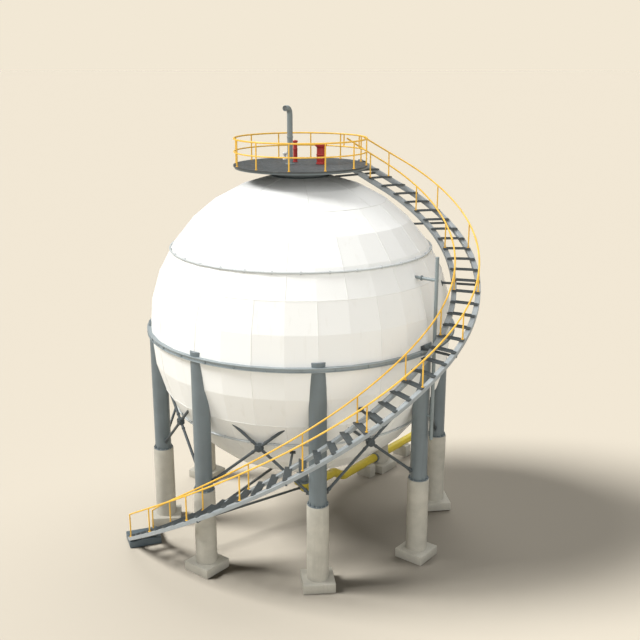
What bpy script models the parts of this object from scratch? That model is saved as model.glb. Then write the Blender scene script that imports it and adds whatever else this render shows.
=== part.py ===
"""Spherical gas tank on eight columns, with a stair that winds up to a railed top platform.

Metres, +Z up, the ground at height zero. The parts are laid out about the tank's own axis, with
one column facing -Y, and the root empty then brings the middle of the whole footprint to X = Y = 0.
"""
import math

import bmesh
import bpy
from mathutils import Matrix, Vector

# Fit: what rests on or is cut by a neighbour keeps this gap to it.
FIT_GAP = 0.0003
SHELL_CLEARANCE = 0.0004
ON_AXIS = 1e-6
WELD_DISTANCE = 1e-5

# Vessel: a ball of plates, 32 round the axis and 16 bands from pole to pole.
TANK_RADIUS = 6.15
TANK_CENTRE = 8.71
SHELL_THICKNESS = 0.042
PLATES_AROUND = 32
PLATE_BANDS = 16
SEAM_BANDS = (0, 3, 6, 10, 13, 16)
ZONE_NAMES = ("bottom_cap", "lower_zone", "equator_zone", "upper_zone", "top_cap")

# Hoops round the shell.
GIRDER_OUTER_RADIUS = 6.298
GIRDER_HEIGHT = 0.16
HOOP_OFFSET = 3.26
HOOP_SIZE = 0.074

# Legs: steel columns on round concrete piers with square footings.
COLUMNS = 8
FIRST_COLUMN_ANGLE = math.radians(-90)
COLUMN_SPACING = math.tau / COLUMNS
COLUMN_RING_RADIUS = 5.892
COLUMN_RADIUS = 0.332
COLUMN_TOP = TANK_CENTRE + 0.25
COLUMN_SIDES = 20
PIER_RADIUS = 0.414
PIER_TOP = 3.395
FOOTING_SIDE = 1.218
FOOTING_HEIGHT = 0.37

# Cross braces between neighbouring columns.
BRACE_RADIUS = 0.055
BRACE_SIDES = 6
BRACE_HEAD_SHARE = 0.8
BRACE_HUB_HEIGHT = TANK_CENTRE - 3.34
BRACE_FOOT_HEIGHT = PIER_TOP + 0.10
BRACE_HUB_RADIUS = 0.15
BRACE_HUB_LENGTH = 0.22
BRACE_HUB_SIDES = 12

# Top platform on its neck.
PLATFORM_TOP = TANK_CENTRE + 6.478
PLATFORM_RADIUS = 2.655
PLATFORM_THICKNESS = 0.062
PLATFORM_SIDES = 48
NECK_RADIUS = 1.009
NECK_SIDES = 32

# Platform railing, with a lift-out section where the stair arrives.
RAIL_POSTS = 12
RAIL_POST_ANGLE = math.radians(15)
RAIL_RING_RADIUS = 2.608
RAIL_HEIGHT = 1.013
RAIL_RADIUS = 0.033
POST_RADIUS = 0.028
RAIL_LEVEL = 1
POST_SIDES = 6
RAIL_STEP = math.radians(10)
ENTRY_BAY = 0
GUARD_UPRIGHT_INSET = math.radians(4)
LUG_SIZE = 0.05

# Stair: treads counted down from the platform, on two curved stringers.
FIRST_TREAD = -1
LAST_TREAD = 45
TREAD_ZERO_ANGLE = math.radians(28.66)
TREAD_ANGLE = math.radians(4.2787)
TREAD_ZERO_TOP = TANK_CENTRE + 6.058
TREAD_RISE = 0.3186
TREAD_DEPTH = 0.28
TREAD_THICKNESS = 0.05
TREAD_OVERHANG = 0.08
STAIR_INNER_RADIUS = 6.61
STAIR_WIDTH = 0.93
STRAIGHT_RUN_HEIGHT = 5.41
STRINGER_WIDTH = 0.20
STRINGER_DEPTH = 0.17
STRINGER_START = FIRST_TREAD - 0.30
STRINGER_END = LAST_TREAD + 0.50
FLIGHT_GAP = 0.001
FLIGHT_TREADS = 12
HANDRAIL_HEIGHT = 0.98
HANDRAIL_POST_EVERY = 4
HANDRAIL_POINT_EVERY = 2
HANDRAIL_JOINT = 0.016
BRACKET_EVERY = 6
BRACKET_DROP = 0.19
BRACKET_SIZE = 0.08

# Steel box that the stair stands on.
BLOCK_ANGLE = math.radians(-166)
BLOCK_INNER_RADIUS = 6.335
BLOCK_OUTER_RADIUS = 7.62
BLOCK_WIDTH = 0.98
BLOCK_HEIGHT = 0.28

# Fittings on the platform.
VENT_PLACE = (-0.42, -0.08)
VENT_RADIUS = 0.11
VENT_LEVEL = 3
VENT_FLANGE_RADIUS = 0.19
VENT_FLANGE_THICKNESS = 0.04
VENT_RISE = 2.17
VENT_BEND = 0.24
VENT_OUTLET_ANGLE = math.radians(-122)
VENT_OUTLET_LENGTH = 0.16
LARGE_VALVE_PLACE = (0.80, -0.10)
LARGE_VALVE_OUTLINE = ((0.195, 0.05), (0.176, 0.05), (0.176, 0.66), (0.235, 0.70), (0.235, 0.80))
SMALL_VALVE_PLACE = (-0.14, 0.74)
SMALL_VALVE_OUTLINE = ((0.102, 0.03), (0.087, 0.03), (0.087, 0.78), (0.105, 0.80), (0.105, 0.87))
GAUGE_PLACE = (-0.48, 1.73)
GAUGE_OUTLINE = ((0.10, 0.03), (0.065, 0.03), (0.065, 0.20), (0.10, 0.22), (0.10, 0.30))
FITTING_SIDES = 16

# Standpipe on the shell beside one column, held lower down by that column.
STANDPIPE_COLUMN = 1
STANDPIPE_RADIUS = 0.068
STANDPIPE_RING_RADIUS = 6.40
STANDPIPE_TOP = TANK_CENTRE + 3.57
STANDPIPE_FOOT = TANK_CENTRE - 3.56
STANDPIPE_BRANCH = TANK_CENTRE + 2.70
STANDPIPE_HOLDER = TANK_CENTRE - 2.62
STANDPIPE_BRANCH_RADIUS = 0.06
STANDPIPE_HOLDER_RADIUS = 0.05
STANDPIPE_SIDES = 10

# Bottom nozzle and the outlet pipe that leaves it over two saddles and through one pier.
NOZZLE_RADIUS = 0.25
NOZZLE_FLANGE_RADIUS = 0.36
NOZZLE_BOTTOM = TANK_CENTRE - 7.22
NOZZLE_FLANGE_THICKNESS = 0.08
OUTLET_COLUMN = 3
OUTLET_ANGLE = FIRST_COLUMN_ANGLE + OUTLET_COLUMN * COLUMN_SPACING
OUTLET_RADIUS = 0.195
OUTLET_LEVEL = 4
OUTLET_HIGH = TANK_CENTRE - 7.63
OUTLET_LOW = TANK_CENTRE - 8.06
OUTLET_JOG_START = 2.25
OUTLET_JOG_END = 2.95
OUTLET_END = 9.2
OUTLET_BEND = 0.30
OUTLET_FLANGE_RADIUS = 0.275
OUTLET_FLANGE_THICKNESS = 0.08
SADDLE_RADII = (4.80, 7.87)
SADDLE_LENGTH = 0.42
SADDLE_WIDTH = 0.80
SADDLE_SEAT_DEPTH = 0.12
SADDLE_SEAT_SIDES = 24

# Finishes: colour, roughness and metallic value.
FINISHES = {
    "shell_white": ((0.86, 0.86, 0.81), 0.45, 0.1),
    "steel_grey": ((0.23, 0.27, 0.29), 0.50, 0.4),
    "dark_steel": ((0.08, 0.095, 0.10), 0.60, 0.5),
    "stair_grey": ((0.42, 0.45, 0.47), 0.50, 0.4),
    "rail_yellow": ((0.86, 0.55, 0.10), 0.45, 0.1),
    "pipe_yellow": ((0.62, 0.50, 0.08), 0.50, 0.1),
    "valve_red": ((0.42, 0.03, 0.03), 0.45, 0.1),
    "concrete": ((0.50, 0.47, 0.39), 0.90, 0.0),
}


def clear_scene():
    for item in list(bpy.data.objects):
        bpy.data.objects.remove(item, do_unlink=True)


def finish(name, finish_name):
    """One material for each part, in one of the named finishes."""
    colour, roughness, metallic = FINISHES[finish_name]
    material = bpy.data.materials.new(name + "_" + finish_name)
    material.use_nodes = True
    shader = material.node_tree.nodes["Principled BSDF"]
    shader.inputs["Base Color"].default_value = (*colour, 1.0)
    shader.inputs["Roughness"].default_value = roughness
    shader.inputs["Metallic"].default_value = metallic
    material.diffuse_color = (*colour, 1.0)
    return material


def polar(radius, angle, height):
    return Vector((radius * math.cos(angle), radius * math.sin(angle), height))


def mesh_object(name, bm):
    """Turn a bmesh into an object in the scene, with its faces pointing out."""
    bmesh.ops.recalc_face_normals(bm, faces=bm.faces)
    mesh = bpy.data.meshes.new(name)
    bm.to_mesh(mesh)
    bm.free()
    item = bpy.data.objects.new(name, mesh)
    bpy.context.scene.collection.objects.link(item)
    return item


def lathe(name, outline, segments, centre=(0.0, 0.0), phase=0.0):
    """Turn a closed outline of (radius, height) points about a vertical axis."""
    bm = bmesh.new()
    rings = []
    for radius, height in outline:
        count = segments if radius > ON_AXIS else 1
        ring = []
        for k in range(count):
            point = polar(radius, phase + math.tau * k / segments, height)
            ring.append(bm.verts.new(point + Vector((*centre, 0.0))))
        rings.append(ring)
    for ring, following in zip(rings, rings[1:] + rings[:1]):
        if len(ring) == 1 and len(following) == 1:
            continue
        for k in range(segments):
            after = (k + 1) % segments
            corners = [ring[k % len(ring)], ring[after % len(ring)],
                       following[after % len(following)], following[k % len(following)]]
            bm.faces.new(list(dict.fromkeys(corners)))
    return mesh_object(name, bm)


def disc(name, radius, bottom, top, sides, centre=(0.0, 0.0)):
    """An upright round piece with a corner of its outline pointing away from the tank's axis."""
    outline = ((0.0, bottom), (radius, bottom), (radius, top), (0.0, top))
    return lathe(name, outline, sides, centre, math.atan2(centre[1], centre[0]))


def loft(name, sections):
    """Skin a row of like outlines and close both ends."""
    bm = bmesh.new()
    rings = [[bm.verts.new(point) for point in section] for section in sections]
    sides = len(rings[0])
    for ring, following in zip(rings, rings[1:]):
        for k in range(sides):
            after = (k + 1) % sides
            bm.faces.new((ring[k], ring[after], following[after], following[k]))
    bm.faces.new(rings[0])
    bm.faces.new(rings[-1])
    return mesh_object(name, bm)


def block(name, size, place, angle=0.0):
    """A box of the given size, centred on a place and turned about the vertical."""
    bm = bmesh.new()
    bmesh.ops.create_cube(bm, size=1.0)
    turn = Matrix.Rotation(angle, 4, "Z")
    bmesh.ops.transform(bm, matrix=Matrix.Translation(place) @ turn @ Matrix.Diagonal((*size, 1.0)),
                        verts=bm.verts)
    return mesh_object(name, bm)


def bar(name, start, end, radius, sides):
    """A straight round bar between two points."""
    start = Vector(start)
    end = Vector(end)
    along = end - start
    bm = bmesh.new()
    bmesh.ops.create_cone(bm, cap_ends=True, segments=sides, radius1=radius, radius2=radius,
                          depth=along.length)
    turn = Vector((0.0, 0.0, 1.0)).rotation_difference(along).to_matrix().to_4x4()
    bmesh.ops.transform(bm, matrix=Matrix.Translation((start + end) / 2) @ turn, verts=bm.verts)
    return mesh_object(name, bm)


def pipe(name, points, radius, level, cyclic=False):
    """A round pipe or rail along a row of points, as a bevelled curve with filled caps."""
    curve = bpy.data.curves.new(name, "CURVE")
    curve.dimensions = "3D"
    curve.bevel_depth = radius
    curve.bevel_resolution = level
    curve.use_fill_caps = True
    spline = curve.splines.new("POLY")
    spline.points.add(len(points) - 1)
    for place, point in zip(spline.points, points):
        place.co = (*point, 1.0)
    spline.use_cyclic_u = cyclic
    item = bpy.data.objects.new(name, curve)
    bpy.context.scene.collection.objects.link(item)
    return as_mesh(item)


def as_mesh(item):
    """Replace an object's data with the mesh that it evaluates to."""
    bpy.context.view_layer.update()
    evaluated = item.evaluated_get(bpy.context.evaluated_depsgraph_get())
    mesh = bpy.data.meshes.new_from_object(evaluated)
    name = item.name
    bpy.data.objects.remove(item)
    bm = bmesh.new()
    bm.from_mesh(mesh)
    bmesh.ops.remove_doubles(bm, verts=bm.verts, dist=WELD_DISTANCE)
    bmesh.ops.dissolve_degenerate(bm, dist=WELD_DISTANCE, edges=bm.edges)
    return mesh_object(name, bm)


def combine(item, tools, operation):
    """Join tools to an item, or cut them out of it, and drop the tools."""
    for tool in tools:
        change = item.modifiers.new(operation.lower(), "BOOLEAN")
        change.operation = operation
        change.solver = "EXACT"
        change.object = tool
    result = as_mesh(item)
    for tool in tools:
        bpy.data.objects.remove(tool, do_unlink=True)
    return result


def gathered(items):
    """Put pieces that don't touch each other into one object."""
    bm = bmesh.new()
    for item in items:
        bm.from_mesh(item.data)
    name = items[0].name
    for item in items:
        bpy.data.objects.remove(item, do_unlink=True)
    return mesh_object(name, bm)


def fuse(item, pieces):
    return combine(item, pieces, "UNION")


def cut(item, cutters):
    return combine(item, cutters, "DIFFERENCE")


def finished(item, finish_name, smooth_angle=math.radians(30)):
    """Give a part its own material, shade its round faces smooth and hang it on the root."""
    item.data.materials.clear()
    item.data.materials.append(finish(item.name, finish_name))
    item.data.shade_smooth()
    item.data.set_sharp_from_angle(angle=smooth_angle)
    item.parent = bpy.data.objects["root"]
    return item


def column_angle(number):
    return FIRST_COLUMN_ANGLE + number * COLUMN_SPACING


def shell_point(band, radius):
    """Radius and height of the plate corners at the top of a band."""
    latitude = math.pi * band / PLATE_BANDS - math.pi / 2
    around = 0.0 if band in (0, PLATE_BANDS) else radius * math.cos(latitude)
    return around, TANK_CENTRE + radius * math.sin(latitude)


def shell_radius_at(height):
    """Distance of the plate corners from the axis at any height."""
    for band in range(PLATE_BANDS):
        low_radius, low_height = shell_point(band, TANK_RADIUS)
        high_radius, high_height = shell_point(band + 1, TANK_RADIUS)
        if low_height <= height <= high_height:
            share = (height - low_height) / (high_height - low_height)
            return low_radius + share * (high_radius - low_radius)
    return 0.0


def column_cutter(number):
    """A column's full round shape, larger by the fit gap, to trim what meets the column."""
    place = polar(COLUMN_RING_RADIUS, column_angle(number), 0.0)
    return disc("column_cutter", COLUMN_RADIUS + FIT_GAP, 0.0, COLUMN_TOP + FIT_GAP, COLUMN_SIDES, place.xy)


def shell_cutter():
    """The shell's outer shape, larger by the fit gap, to trim what meets the shell."""
    radius = TANK_RADIUS + SHELL_CLEARANCE
    outline = [shell_point(band, radius) for band in range(PLATE_BANDS + 1)]
    return lathe("shell_cutter", outline, PLATES_AROUND)


def shell_zone(name, first_band, last_band):
    """One ring or bowl of the shell, open where the next zone carries on."""
    bands = range(first_band, last_band + 1)
    outer = [shell_point(band, TANK_RADIUS) for band in bands]
    inner = [shell_point(band, TANK_RADIUS - SHELL_THICKNESS) for band in bands]
    if first_band > 0:
        outer[0] = (outer[0][0], outer[0][1] + FIT_GAP)
        inner[0] = (inner[0][0], inner[0][1] + FIT_GAP)
    item = lathe(name, outer + inner[::-1], PLATES_AROUND)
    finished(item, "shell_white", smooth_angle=math.radians(5))


def make_shell():
    for name, first_band, last_band in zip(ZONE_NAMES, SEAM_BANDS, SEAM_BANDS[1:]):
        shell_zone(name, first_band, last_band)


def hoop(name, low, high, outer_radius):
    """A flat hoop from just clear of the plates out to a radius, with one side for each plate."""
    clear = 2 * FIT_GAP
    outline = ((shell_radius_at(low) + clear, low), (outer_radius, low),
               (outer_radius, high), (shell_radius_at(high) + clear, high))
    return lathe(name, outline, PLATES_AROUND)


def make_hoops():
    """Two light hoops above and below, and the girder that runs round in front of the columns."""
    for name, side in (("upper_hoop", 1), ("lower_hoop", -1)):
        low = TANK_CENTRE + side * HOOP_OFFSET - HOOP_SIZE / 2
        high = low + HOOP_SIZE
        widest = max(shell_radius_at(low), shell_radius_at(high))
        finished(hoop(name, low, high, widest + HOOP_SIZE), "shell_white")
    low = TANK_CENTRE - GIRDER_HEIGHT / 2
    outline = ((TANK_RADIUS + FIT_GAP, low), (GIRDER_OUTER_RADIUS, low),
               (GIRDER_OUTER_RADIUS, low + GIRDER_HEIGHT), (TANK_RADIUS + FIT_GAP, low + GIRDER_HEIGHT))
    girder = lathe("equator_girder", outline, PLATES_AROUND)
    cutters = [column_cutter(number) for number in range(COLUMNS)]
    finished(cut(girder, [gathered(cutters)]), "steel_grey")


def make_legs():
    for number in range(COLUMNS):
        angle = column_angle(number)
        place = polar(COLUMN_RING_RADIUS, angle, 0.0)
        column = disc(f"column_{number + 1}", COLUMN_RADIUS, PIER_TOP + FIT_GAP, COLUMN_TOP,
                      COLUMN_SIDES, place.xy)
        finished(cut(column, [shell_cutter()]), "steel_grey")
        pier = disc(f"pier_{number + 1}", PIER_RADIUS, FOOTING_HEIGHT / 2, PIER_TOP,
                    COLUMN_SIDES, place.xy)
        footing = block("footing", (FOOTING_SIDE, FOOTING_SIDE, FOOTING_HEIGHT),
                        place + Vector((0.0, 0.0, FOOTING_HEIGHT / 2)), angle)
        pier = fuse(pier, [footing])
        if number == OUTLET_COLUMN:
            pier = cut(pier, [outlet_run("outlet_cutter", OUTLET_RADIUS + 2 * FIT_GAP)])
        finished(pier, "concrete")


def make_braces():
    """A cross of bars in each bay, low on the columns and up to the shell, through a hub."""
    for number in range(COLUMNS):
        middle_angle = column_angle(number) + COLUMN_SPACING / 2
        middle_radius = COLUMN_RING_RADIUS * math.cos(COLUMN_SPACING / 2)
        hub = polar(middle_radius, middle_angle, BRACE_HUB_HEIGHT)
        outward = polar(1.0, middle_angle, 0.0)
        arms = []
        for end in (number, number + 1):
            foot = polar(COLUMN_RING_RADIUS, column_angle(end), BRACE_FOOT_HEIGHT)
            head = hub + (hub - foot) * BRACE_HEAD_SHARE
            arms.append(bar("arm", foot, head, BRACE_RADIUS, BRACE_SIDES))
        boss = bar(f"brace_{number + 1}", hub - outward * BRACE_HUB_LENGTH / 2,
                   hub + outward * BRACE_HUB_LENGTH / 2, BRACE_HUB_RADIUS, BRACE_HUB_SIDES)
        cross = fuse(boss, arms)
        columns = gathered([column_cutter(number), column_cutter(number + 1)])
        finished(cut(cross, [shell_cutter(), columns]), "dark_steel")


def make_top():
    """The neck that stands on the top cap and the round platform on it."""
    underside = PLATFORM_TOP - PLATFORM_THICKNESS
    neck = disc("top_neck", NECK_RADIUS, TANK_CENTRE, underside - FIT_GAP, NECK_SIDES)
    finished(cut(neck, [shell_cutter()]), "steel_grey")
    platform = disc("top_platform", PLATFORM_RADIUS, underside, PLATFORM_TOP, PLATFORM_SIDES)
    finished(platform, "dark_steel")


def arc(radius, height, first_angle, last_angle):
    """Points along a level arc, at the ends and at even steps between."""
    steps = max(1, round((last_angle - first_angle) / RAIL_STEP))
    angles = [first_angle + (last_angle - first_angle) * k / steps for k in range(steps + 1)]
    return [polar(radius, angle, height) for angle in angles]


def rail_post_angle(number):
    return RAIL_POST_ANGLE + math.tau * number / RAIL_POSTS


def make_railing():
    """Railing round the platform, open at the entry bay, and the section that closes it."""
    foot = PLATFORM_TOP + FIT_GAP
    top = PLATFORM_TOP + RAIL_HEIGHT
    middle = PLATFORM_TOP + RAIL_HEIGHT / 2
    entry_start = rail_post_angle(ENTRY_BAY)
    entry_end = rail_post_angle(ENTRY_BAY + 1)
    railing = pipe("platform_railing", arc(RAIL_RING_RADIUS, top, entry_end, entry_start + math.tau),
                   RAIL_RADIUS, RAIL_LEVEL)
    pieces = [pipe("middle_rail", arc(RAIL_RING_RADIUS, middle, entry_end, entry_start + math.tau),
                   POST_RADIUS, RAIL_LEVEL)]
    for number in range(RAIL_POSTS):
        place = polar(RAIL_RING_RADIUS, rail_post_angle(number), 0.0)
        pieces.append(bar("post", place + Vector((0, 0, foot)), place + Vector((0, 0, top)),
                          POST_RADIUS, POST_SIDES))
    for angle in (entry_start, entry_end):
        turn = 1 if angle == entry_start else -1
        lug_angle = angle + turn * LUG_SIZE / RAIL_RING_RADIUS
        for height, radius in ((top, RAIL_RADIUS), (middle, POST_RADIUS)):
            lug_middle = height - radius - FIT_GAP - LUG_SIZE / 4
            pieces.append(block("lug", (LUG_SIZE, 2 * LUG_SIZE, LUG_SIZE / 2),
                                polar(RAIL_RING_RADIUS, lug_angle, lug_middle), lug_angle))
    finished(fuse(railing, pieces), "rail_yellow")
    guard = pipe("entry_guard", arc(RAIL_RING_RADIUS, top, entry_start, entry_end),
                 RAIL_RADIUS, RAIL_LEVEL)
    parts = [pipe("guard_rail", arc(RAIL_RING_RADIUS, middle, entry_start, entry_end),
                  POST_RADIUS, RAIL_LEVEL)]
    for angle in (entry_start + GUARD_UPRIGHT_INSET, entry_end - GUARD_UPRIGHT_INSET):
        parts.append(bar("upright", polar(RAIL_RING_RADIUS, angle, middle),
                         polar(RAIL_RING_RADIUS, angle, top), POST_RADIUS, POST_SIDES))
    guard = fuse(guard, parts)
    trims = []
    for angle in (entry_start, entry_end):
        place = polar(RAIL_RING_RADIUS, angle, 0.0)
        trims.append(disc("post_trim", RAIL_RADIUS + 4 * FIT_GAP, foot, top + 2 * RAIL_RADIUS,
                          2 * POST_SIDES, place.xy))
    finished(cut(guard, trims), "rail_yellow")


def tread_angle(tread):
    return TREAD_ZERO_ANGLE - tread * TREAD_ANGLE


def tread_top(tread):
    return TREAD_ZERO_TOP - tread * TREAD_RISE


def stair_radius(tread):
    """The stair's inner line: upright below the middle, then over the ball, then straight in."""
    rise = tread_top(tread) - TANK_CENTRE
    if rise <= 0.0:
        return STAIR_INNER_RADIUS
    round_rise = min(rise, STRAIGHT_RUN_HEIGHT)
    radius = math.sqrt(STAIR_INNER_RADIUS ** 2 - round_rise ** 2)
    return radius - (rise - round_rise) * STRAIGHT_RUN_HEIGHT / radius


def stair_point(tread, across, height=0.0):
    """A point on a tread's line, across from the inner line, above or below the tread's top."""
    return polar(stair_radius(tread) + across, tread_angle(tread), tread_top(tread) + height)


def stringer(name, first, last, across, swell=0.0):
    """A curved stringer between two tread numbers, bent halfway between treads, swollen all round."""
    bends = [tread + 0.5 for tread in range(FIRST_TREAD, LAST_TREAD) if first < tread + 0.5 < last]
    near = across - STRINGER_WIDTH / 2 - swell
    far = across + STRINGER_WIDTH / 2 + swell
    top = -TREAD_THICKNESS / 2 + swell
    bottom = -TREAD_THICKNESS / 2 - STRINGER_DEPTH - swell
    sections = []
    for tread in [first] + bends + [last]:
        sections.append([stair_point(tread, near, bottom), stair_point(tread, far, bottom),
                         stair_point(tread, far, top), stair_point(tread, near, top)])
    return loft(name, sections)


def tread_plate(tread):
    inner = stair_point(tread, -TREAD_OVERHANG)
    outer = stair_point(tread, STAIR_WIDTH + TREAD_OVERHANG)
    length = (outer - inner).length
    middle = (inner + outer) / 2 - Vector((0.0, 0.0, TREAD_THICKNESS / 2))
    return block("tread", (length, TREAD_DEPTH, TREAD_THICKNESS), middle, tread_angle(tread))


def bracket(tread):
    """A level bar under the stair, from the shell or the outlet to beyond the outer stringer."""
    height = tread_top(tread) - BRACKET_DROP
    inner = max(shell_radius_at(height) - 4 * BRACKET_SIZE, 0.0)
    outer = stair_radius(tread) + STAIR_WIDTH + STRINGER_WIDTH / 2
    middle = polar((inner + outer) / 2, tread_angle(tread), height)
    return block("bracket", (outer - inner, BRACKET_SIZE, BRACKET_SIZE), middle, tread_angle(tread))


def outlet_run(name, radius):
    """The bent run of the outlet pipe at a given radius."""
    down = Vector((0.0, 0.0, -1.0))
    out = polar(1.0, OUTLET_ANGLE, 0.0)
    jog_start = polar(OUTLET_JOG_START, OUTLET_ANGLE, OUTLET_HIGH)
    jog_end = polar(OUTLET_JOG_END, OUTLET_ANGLE, OUTLET_LOW)
    jog = jog_end - jog_start
    points = [Vector((0.0, 0.0, NOZZLE_BOTTOM - FIT_GAP))]
    points += bend(Vector((0.0, 0.0, OUTLET_HIGH)), down, out, OUTLET_BEND)
    points += bend(jog_start, out, jog, OUTLET_BEND, steps=2)
    points += bend(jog_end, jog, out, OUTLET_BEND, steps=2)
    points.append(polar(OUTLET_END, OUTLET_ANGLE, OUTLET_LOW))
    return pipe(name, points, radius, OUTLET_LEVEL)


def make_flight(number, first, last):
    """One flight: its stretch of both stringers, its treads and its brackets in one piece."""
    start = STRINGER_START if first == FIRST_TREAD else first - 0.5 + FLIGHT_GAP
    end = STRINGER_END if last == LAST_TREAD else last + 0.5
    flight = stringer(f"stair_flight_{number}", start, end, 0.0)
    pieces = [stringer("outer_stringer", start, end, STAIR_WIDTH)]
    for tread in range(first, last + 1):
        pieces.append(tread_plate(tread))
        if tread % BRACKET_EVERY == 0:
            pieces.append(bracket(tread))
    flight = fuse(flight, pieces)
    base_top = BLOCK_HEIGHT + FIT_GAP
    reach = 2 * STAIR_INNER_RADIUS
    below = block("below_base", (2 * reach, 2 * reach, 2 * base_top), Vector((0.0, 0.0, 0.0)))
    above = disc("platform_cutter", PLATFORM_RADIUS + FIT_GAP,
                 PLATFORM_TOP - PLATFORM_THICKNESS - FIT_GAP, PLATFORM_TOP + 1.0, PLATFORM_SIDES)
    trims = [shell_cutter(), below, above]
    if last == LAST_TREAD:
        trims.append(outlet_run("outlet_cutter", OUTLET_RADIUS + 2 * FIT_GAP))
    finished(cut(flight, trims), "stair_grey")


def make_handrail(name, across, first, last):
    """One flight's rail on its posts, the posts' feet trimmed to the stringer."""
    start = FIRST_TREAD if first == FIRST_TREAD else first - 0.5 + HANDRAIL_JOINT
    end = LAST_TREAD if last == LAST_TREAD else last + 0.5
    steps = round((end - start) / HANDRAIL_POINT_EVERY)
    line = [stair_point(start + (end - start) * k / steps, across, HANDRAIL_HEIGHT)
            for k in range(steps + 1)]
    rail = pipe(name, line, RAIL_RADIUS, RAIL_LEVEL)
    posts = []
    for tread in range(first, last + 1):
        if tread > 0 and tread % HANDRAIL_POST_EVERY == 1:
            posts.append(bar("post", stair_point(tread, across, FIT_GAP),
                             stair_point(tread, across, HANDRAIL_HEIGHT), POST_RADIUS, POST_SIDES))
    below = stringer("stringer_cutter", STRINGER_START, STRINGER_END, across, 3 * FIT_GAP)
    finished(cut(fuse(rail, posts), [below]), "rail_yellow")


def make_stair():
    firsts = list(range(FIRST_TREAD, LAST_TREAD, FLIGHT_TREADS))
    for number, first in enumerate(firsts, start=1):
        last = min(first + FLIGHT_TREADS - 1, LAST_TREAD)
        make_flight(number, first, last)
        make_handrail(f"inner_handrail_{number}", 0.0, first, last)
        make_handrail(f"outer_handrail_{number}", STAIR_WIDTH, first, last)
    length = BLOCK_OUTER_RADIUS - BLOCK_INNER_RADIUS
    middle = polar((BLOCK_OUTER_RADIUS + BLOCK_INNER_RADIUS) / 2, BLOCK_ANGLE, BLOCK_HEIGHT / 2)
    base = block("stair_base", (length, BLOCK_WIDTH, BLOCK_HEIGHT), middle, BLOCK_ANGLE)
    finished(base, "dark_steel")


def bend(corner, before, after, radius, steps=5):
    """Points of a round bend at a corner between two directions."""
    before = before.normalized()
    after = after.normalized()
    turn = before.angle(after)
    run = radius * math.tan(turn / 2)
    start = corner - before * run
    inward = (after - before * before.dot(after)).normalized()
    centre = start + inward * radius
    points = []
    for k in range(steps + 1):
        swept = turn * k / steps
        points.append(centre - inward * radius * math.cos(swept) + before * radius * math.sin(swept))
    return points


def make_vent():
    """A gooseneck vent that rises from the platform and turns out level."""
    foot = Vector((*VENT_PLACE, PLATFORM_TOP + FIT_GAP))
    up = Vector((0.0, 0.0, 1.0))
    out = polar(1.0, VENT_OUTLET_ANGLE, 0.0)
    corner = foot + up * VENT_RISE
    points = [foot] + bend(corner, up, out, VENT_BEND)
    points.append(corner + out * (VENT_BEND + VENT_OUTLET_LENGTH))
    vent = pipe("vent_pipe", points, VENT_RADIUS, VENT_LEVEL)
    flange = disc("vent_flange", VENT_FLANGE_RADIUS, PLATFORM_TOP + FIT_GAP,
                  PLATFORM_TOP + VENT_FLANGE_THICKNESS, FITTING_SIDES, VENT_PLACE)
    finished(fuse(vent, [flange]), "steel_grey")


def make_fitting(name, place, outline, finish_name):
    """A turned valve body on the platform: a flange at its foot and a wider head."""
    base = PLATFORM_TOP + FIT_GAP
    foot_radius = outline[0][0]
    points = [(0.0, base), (foot_radius, base)]
    points += [(radius, base + height) for radius, height in outline]
    points.append((0.0, base + outline[-1][1]))
    finished(lathe(name, points, FITTING_SIDES, place), finish_name)


def make_fittings():
    make_vent()
    make_fitting("large_relief_valve", LARGE_VALVE_PLACE, LARGE_VALVE_OUTLINE, "valve_red")
    make_fitting("small_relief_valve", SMALL_VALVE_PLACE, SMALL_VALVE_OUTLINE, "valve_red")
    make_fitting("level_gauge", GAUGE_PLACE, GAUGE_OUTLINE, "shell_white")


def make_standpipe():
    """An upright pipe outside one column, joined to the shell above and held to the column below."""
    angle = column_angle(STANDPIPE_COLUMN)
    foot = polar(STANDPIPE_RING_RADIUS, angle, STANDPIPE_FOOT)
    head = polar(STANDPIPE_RING_RADIUS, angle, STANDPIPE_TOP)
    standpipe = bar("standpipe", foot, head, STANDPIPE_RADIUS, STANDPIPE_SIDES)
    branch_end = polar(STANDPIPE_RING_RADIUS, angle, STANDPIPE_BRANCH)
    branch_start = polar(shell_radius_at(STANDPIPE_BRANCH) - 4 * STANDPIPE_RADIUS, angle, STANDPIPE_BRANCH)
    branch = bar("branch", branch_start, branch_end, STANDPIPE_BRANCH_RADIUS, STANDPIPE_SIDES)
    holder_end = polar(STANDPIPE_RING_RADIUS, angle, STANDPIPE_HOLDER)
    holder_start = polar(COLUMN_RING_RADIUS, angle, STANDPIPE_HOLDER)
    holder = bar("holder", holder_start, holder_end, STANDPIPE_HOLDER_RADIUS, STANDPIPE_SIDES)
    trims = [shell_cutter(), column_cutter(STANDPIPE_COLUMN)]
    finished(cut(fuse(standpipe, [branch, holder]), trims), "steel_grey")


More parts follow.
